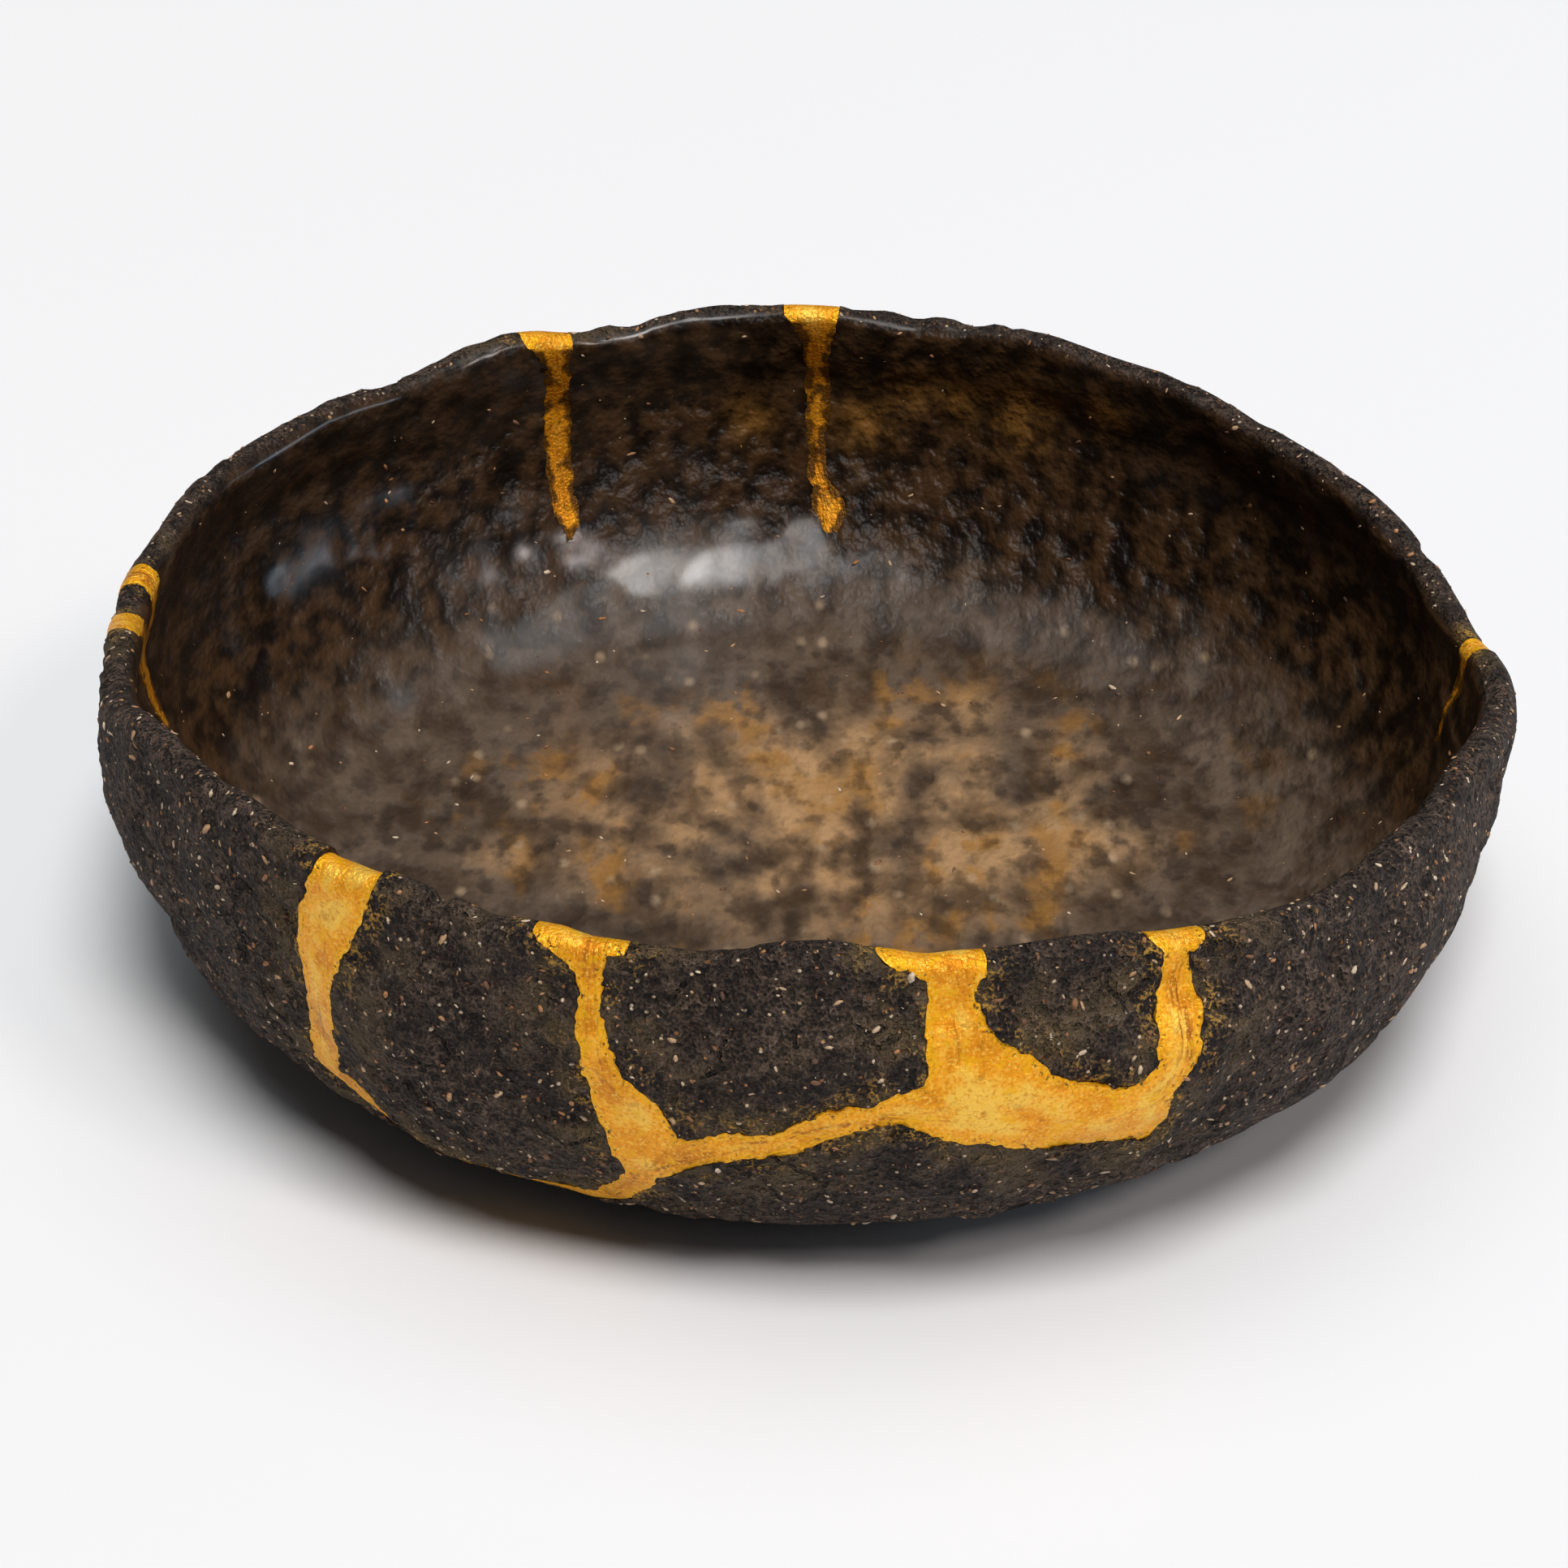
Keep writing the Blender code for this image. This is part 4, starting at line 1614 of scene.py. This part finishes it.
@dataclass
class Bowl:
    """The clay and lacquer pieces of the bowl.

    Edges are sharp from some degrees. The gap that crumbs leave beside a seam, and the half
    width below which a seam starts to count as narrow, are in millimetres. The spill and the
    strokes' spacing are in degrees.
    """

    blank: Blank = Blank()
    crumbs: Crumbs = Crumbs()
    spill: float = 0.10
    sharp_from: float = 62.0
    inside_from: float = 0.8
    crumbs_inside: float = 0.12
    crumbs_off_seam: float = 0.6
    crumbs_off_floor: float = 2.0 * MM
    stroke_spacing: float = 0.1
    stroke_meeting: float = 1.5 * MM
    narrow_from: float = 4.2
    narrow_fade: float = 2.4
    pieces: dict[str, Object] = field(default_factory=dict)

    def __post_init__(self) -> None:
        """Makes the blades' solids and a tree of every seam's outline."""
        blades = [Blade(self.blank, seam.outline) for seam in SEAMS]
        self.solids = [
            blade.solid(seam.node + "_blade", self.spill) for seam, blade in zip(SEAMS, blades)
        ]
        lines = [self.blank.at_girth(blade.line(0.0)) for blade in blades]
        self.outline = tree_of(np.concatenate(lines))

    def piece(self, name: str, shape: Shape) -> Object:
        """An object for one loose piece, smooth but for its broken edges.

        Args:
            name: name of the piece.
            shape: its places and triangles.

        Returns:
            The object.
        """
        mesh = mesh_of(name, shape[0], shape[1].tolist())
        mesh.shade_smooth()
        mesh.set_sharp_from_angle(angle=math.radians(self.sharp_from))
        self.pieces[name] = object_of(name, mesh)
        log.info("%s: %d triangles", name, len(mesh.polygons))
        return self.pieces[name]

    def mark_clay(self, obj: Object, skin: Skin) -> None:
        """Keeps on a clay piece how far inside each corner is, how near a seam and how stained.

        Args:
            obj: the piece.
            skin: skin that it was cut from.
        """
        places = shape_of(obj.data)[0]
        inside = skin.insideness(places)
        near = gaps_to(self.outline, self.blank.directions(places)) / MM
        blot = np.zeros(len(places))
        for stain in BLOTS:
            away = np.linalg.norm(places / MM - np.array(stain.middle), axis=1) / stain.size
            blot = np.maximum(blot, np.exp(-(away**2)))
        bare = np.where(inside < self.inside_from, 1.0, self.crumbs_inside)
        bare = bare * np.clip(near / self.crumbs_off_seam, 0.0, 1.0)
        keep(obj, "inside", inside)
        keep(obj, "from_seam", near)
        keep(obj, "blot", blot)
        keep(obj, "bare", bare * np.where(places[:, 2] < self.crumbs_off_floor, 0.0, 1.0))

    def build_clay(self) -> None:
        """Cuts the body and the sherds from the clay's skins."""
        fine = Skin("sherd_skin", self.blank, SHERD_MESH, CLAY_RELIEF)
        loose = loose_pieces(*fine.cut(self.solids, Cut.TAKE_AWAY))[1:]
        for name, where in SHERDS.items():
            self.mark_clay(self.piece(name, self.nearest(loose, where)), fine)
        coarse = Skin("body_skin", self.blank, BODY_MESH, CLAY_RELIEF)
        body, *loose = loose_pieces(*coarse.cut(self.solids, Cut.TAKE_AWAY))
        self.mark_clay(self.piece(BODY, body), coarse)
        name, where = RIM_SHERD
        self.mark_clay(self.piece(name, self.nearest(loose, where)), coarse)
        for skin in (fine, coarse):
            bpy.data.objects.remove(skin.object)

    def nearest(self, loose: list[Shape], where: tuple[float, float]) -> Shape:
        """The loose piece whose middle is nearest a direction.

        Args:
            loose: the pieces.
            where: degrees round and degrees down from the rim.

        Returns:
            The piece.
        """
        angle, down = np.array([where]).T
        centre = self.blank.seen_from_rim(angle, down, self.blank.sizes.girth_radius)[0]
        return min(loose, key=lambda piece: np.linalg.norm(piece[0].mean(axis=0) - centre))

    def build_lacquer(self) -> None:
        """Cuts each seam from the lacquer's skin."""
        skin = Skin("lacquer_skin", self.blank, LACQUER_MESH, LACQUER_RELIEF)
        for seam, solid in zip(SEAMS, self.solids):
            obj = self.piece(seam.node, skin.cut([solid], Cut.KEEP_INSIDE))
            self.mark_lacquer(obj, skin, seam)
        for obj in (skin.object, *self.solids):
            bpy.data.objects.remove(obj)

    def mark_lacquer(self, obj: Object, skin: Skin, seam: Seam) -> None:
        """Keeps on a seam how far each corner is from its edge and where the brush went.

        Args:
            obj: the piece.
            skin: skin that it was cut from.
            seam: the seam.
        """
        places = shape_of(obj.data)[0]
        flat = self.blank.directions(places)
        starts, ahead, lengths, strokes = self.stroke_points(seam)
        tree = tree_of(starts)
        nearest = np.array([tree.find(place)[1] for place in flat])
        off = flat - starts[nearest]
        side = np.cross(ahead[nearest], flat / self.blank.sizes.girth_radius)
        forward = np.einsum("ij,ij->i", off, ahead[nearest])
        half_width = gaps_to(self.outline, starts)[nearest] / MM
        narrow = np.clip((self.narrow_from - half_width) / self.narrow_fade, 0.0, 1.0)
        keep(obj, "inside", skin.insideness(places))
        keep(obj, "from_edge", gaps_to(self.outline, flat) / MM)
        keep(obj, "across", np.einsum("ij,ij->i", off, side) / MM)
        keep(obj, "along", (lengths[nearest] + forward) / MM)
        keep(obj, "narrow", narrow)
        keep(obj, "own", self.clearness(flat, starts, strokes))

    def clearness(self, flat: np.ndarray, starts: np.ndarray, strokes: np.ndarray) -> np.ndarray:
        """How far each place is from where two brush strokes meet.

        Args:
            flat: places at the girth's distance.
            starts: points along the strokes.
            strokes: number of the stroke that each point is on.

        Returns:
            0 where two strokes are equally near, 1 where one is clearly nearer.
        """
        numbers = np.unique(strokes)
        if len(numbers) == 1:
            return np.ones(len(flat))
        gaps = [gaps_to(tree_of(starts[strokes == number]), flat) for number in numbers]
        ordered = np.sort(np.array(gaps), axis=0)
        return np.clip((ordered[1] - ordered[0]) / self.stroke_meeting, 0.0, 1.0)

    def stroke_points(self, seam: Seam) -> tuple[np.ndarray, ...]:
        """Points along a seam's brush strokes, each stroke starting a metre on from the last.

        Args:
            seam: the seam.

        Returns:
            Places, directions along the stroke, lengths from its start and the strokes' numbers.
        """
        parts = []
        for number, stroke in enumerate(seam.strokes):
            corners = np.array(stroke)
            at = lengths_along(corners)
            along = np.arange(0.0, at[-1], self.stroke_spacing)
            drawn = np.stack([np.interp(along, at, corners[:, k]) for k in (0, 1)], axis=-1)
            line = self.blank.at_girth(drawn)
            ahead = np.gradient(line, axis=0)
            ahead /= np.linalg.norm(ahead, axis=1)[:, None]
            parts.append((line, ahead, number + lengths_along(line), np.full(len(line), number)))
        return tuple(np.concatenate(part) for part in zip(*parts))

    def dress(self) -> None:
        """Gives each piece its finish and the node that it stands for."""
        clay = ClayFinish().build()
        lacquer = LacquerFinish().build()
        grog = Scatter(GrogFinish().build(), self.crumbs)
        for number, (name, obj) in enumerate(self.pieces.items()):
            golden = name.startswith("gold")
            obj.data.materials.append(lacquer if golden else clay)
            made = [obj]
            if not golden:
                crumbs = grog.press(obj, name + "_grog", self.crumbs.crowding, number)
                log.info("%s: %d triangles", crumbs.name, len(crumbs.data.polygons))
                made.append(crumbs)
            for piece in made:
                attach(piece, "root")
            obj.name = name + "_look"
            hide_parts(name)


def lamp_of(light: Light, strength: float, colour: Colour, aim: Vector) -> Object:
    """A lamp that shines along a direction.

    Args:
        light: its kind of light.
        strength: watts, or watts to a square metre from far away.
        colour: its light.
        aim: the direction.

    Returns:
        The lamp, at the origin.
    """
    light.energy = strength
    light.color = colour
    lamp = object_of(light.name, light)
    lamp.rotation_euler = aim.to_track_quat("-Z", "Y").to_euler()
    return lamp


@dataclass(frozen=True)
class FarLight:
    """Broad even light from far away. Its spread is how broad it looks, in degrees."""

    name: str
    towards: Place
    spread: float
    strength: float
    colour: Colour

    def build(self) -> None:
        """Hangs the lamp."""
        light = bpy.data.lights.new(self.name, "SUN")
        light.angle = math.radians(self.spread)
        lamp_of(light, self.strength, self.colour, -Vector(self.towards))


@dataclass(frozen=True)
class SoftBox:
    """A soft box near the bowl, with its width and height in metres."""

    name: str
    place: Place
    size: tuple[float, float]
    strength: float
    colour: Colour

    def build(self, target: Place) -> None:
        """Hangs the lamp.

        Args:
            target: place that it faces.
        """
        light = bpy.data.lights.new(self.name, "AREA")
        light.shape = "RECTANGLE"
        light.size, light.size_y = self.size
        aim = Vector(target) - Vector(self.place)
        lamp_of(light, self.strength, self.colour, aim).location = self.place


@dataclass(frozen=True)
class Studio:
    """The pale floor, the soft lights and the camera."""

    floor_side: float = 6.0
    floor_drop: float = 0.05 * MM
    floor_colour: Colour = (0.86, 0.86, 0.87)
    sky: Colour = (0.97, 0.98, 1.0)
    sky_strength: float = 0.045
    far_lights: tuple[FarLight, ...] = (
        FarLight("front_light", (0.09, -0.36, 0.92), 24.0, 2.28, (1.0, 0.98, 0.965)),
        FarLight("top_light", (-0.05, 0.15, 1.0), 55.0, 0.90, (0.88, 0.955, 1.0)),
        FarLight("window_light", (0.54, -0.46, 0.71), 13.0, 0.62, (1.0, 0.90, 0.87)),
    )
    soft_box: SoftBox = SoftBox("side_box", (0.9, 0.10, 0.11), (0.5, 0.2), 1.7, (0.70, 0.85, 1.0))
    distance: float = 0.5976
    tilt: float = 30.12
    lens: float = 97.21
    sensor_width: float = 36.0
    nearest_seen: float = 0.01
    target: Place = (-0.00279, 0.00519, 0.0195)

    def build_floor(self) -> None:
        """Lays a plain pale floor."""
        half = self.floor_side / 2
        places = np.array([(-half, -half, 0), (half, -half, 0), (half, half, 0), (-half, half, 0)])
        floor = object_of("floor", mesh_of("floor", places, [[0, 1, 2, 3]]))
        floor.location.z = -self.floor_drop
        board = Board("floor_paper")
        paper = board.surface(Base_Color=self.floor_colour, Roughness=0.6)
        floor.data.materials.append(board.show(paper))

    def build_camera(self) -> None:
        """Sets up the camera, in front of the bowl and above it."""
        lens = bpy.data.cameras.new("camera")
        lens.lens = self.lens
        lens.sensor_width = self.sensor_width
        lens.clip_start = self.nearest_seen
        camera = object_of("camera", lens)
        rise = math.radians(self.tilt)
        back = Vector((0.0, -math.cos(rise), math.sin(rise))) * self.distance
        camera.location = Vector(self.target) + back
        camera.rotation_euler = (math.pi / 2 - rise, 0.0, 0.0)
        bpy.context.scene.camera = camera

    def build(self) -> None:
        """Sets up sky, floor, lights and camera."""
        scene = bpy.context.scene
        scene.world = bpy.data.worlds.new("soft_sky")
        scene.world.use_nodes = True
        sky = scene.world.node_tree.nodes["Background"]
        sky.inputs["Color"].default_value = (*self.sky, 1.0)
        sky.inputs["Strength"].default_value = self.sky_strength
        scene.view_settings.view_transform = "Standard"
        self.build_floor()
        for light in self.far_lights:
            light.build()
        self.soft_box.build(self.target)
        self.build_camera()


def main() -> None:
    """Builds the bowl, dresses it and sets up the studio."""
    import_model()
    bowl = Bowl()
    bowl.build_clay()
    bowl.build_lacquer()
    bowl.dress()
    Studio().build()


if __name__ == "__main__":
    main()
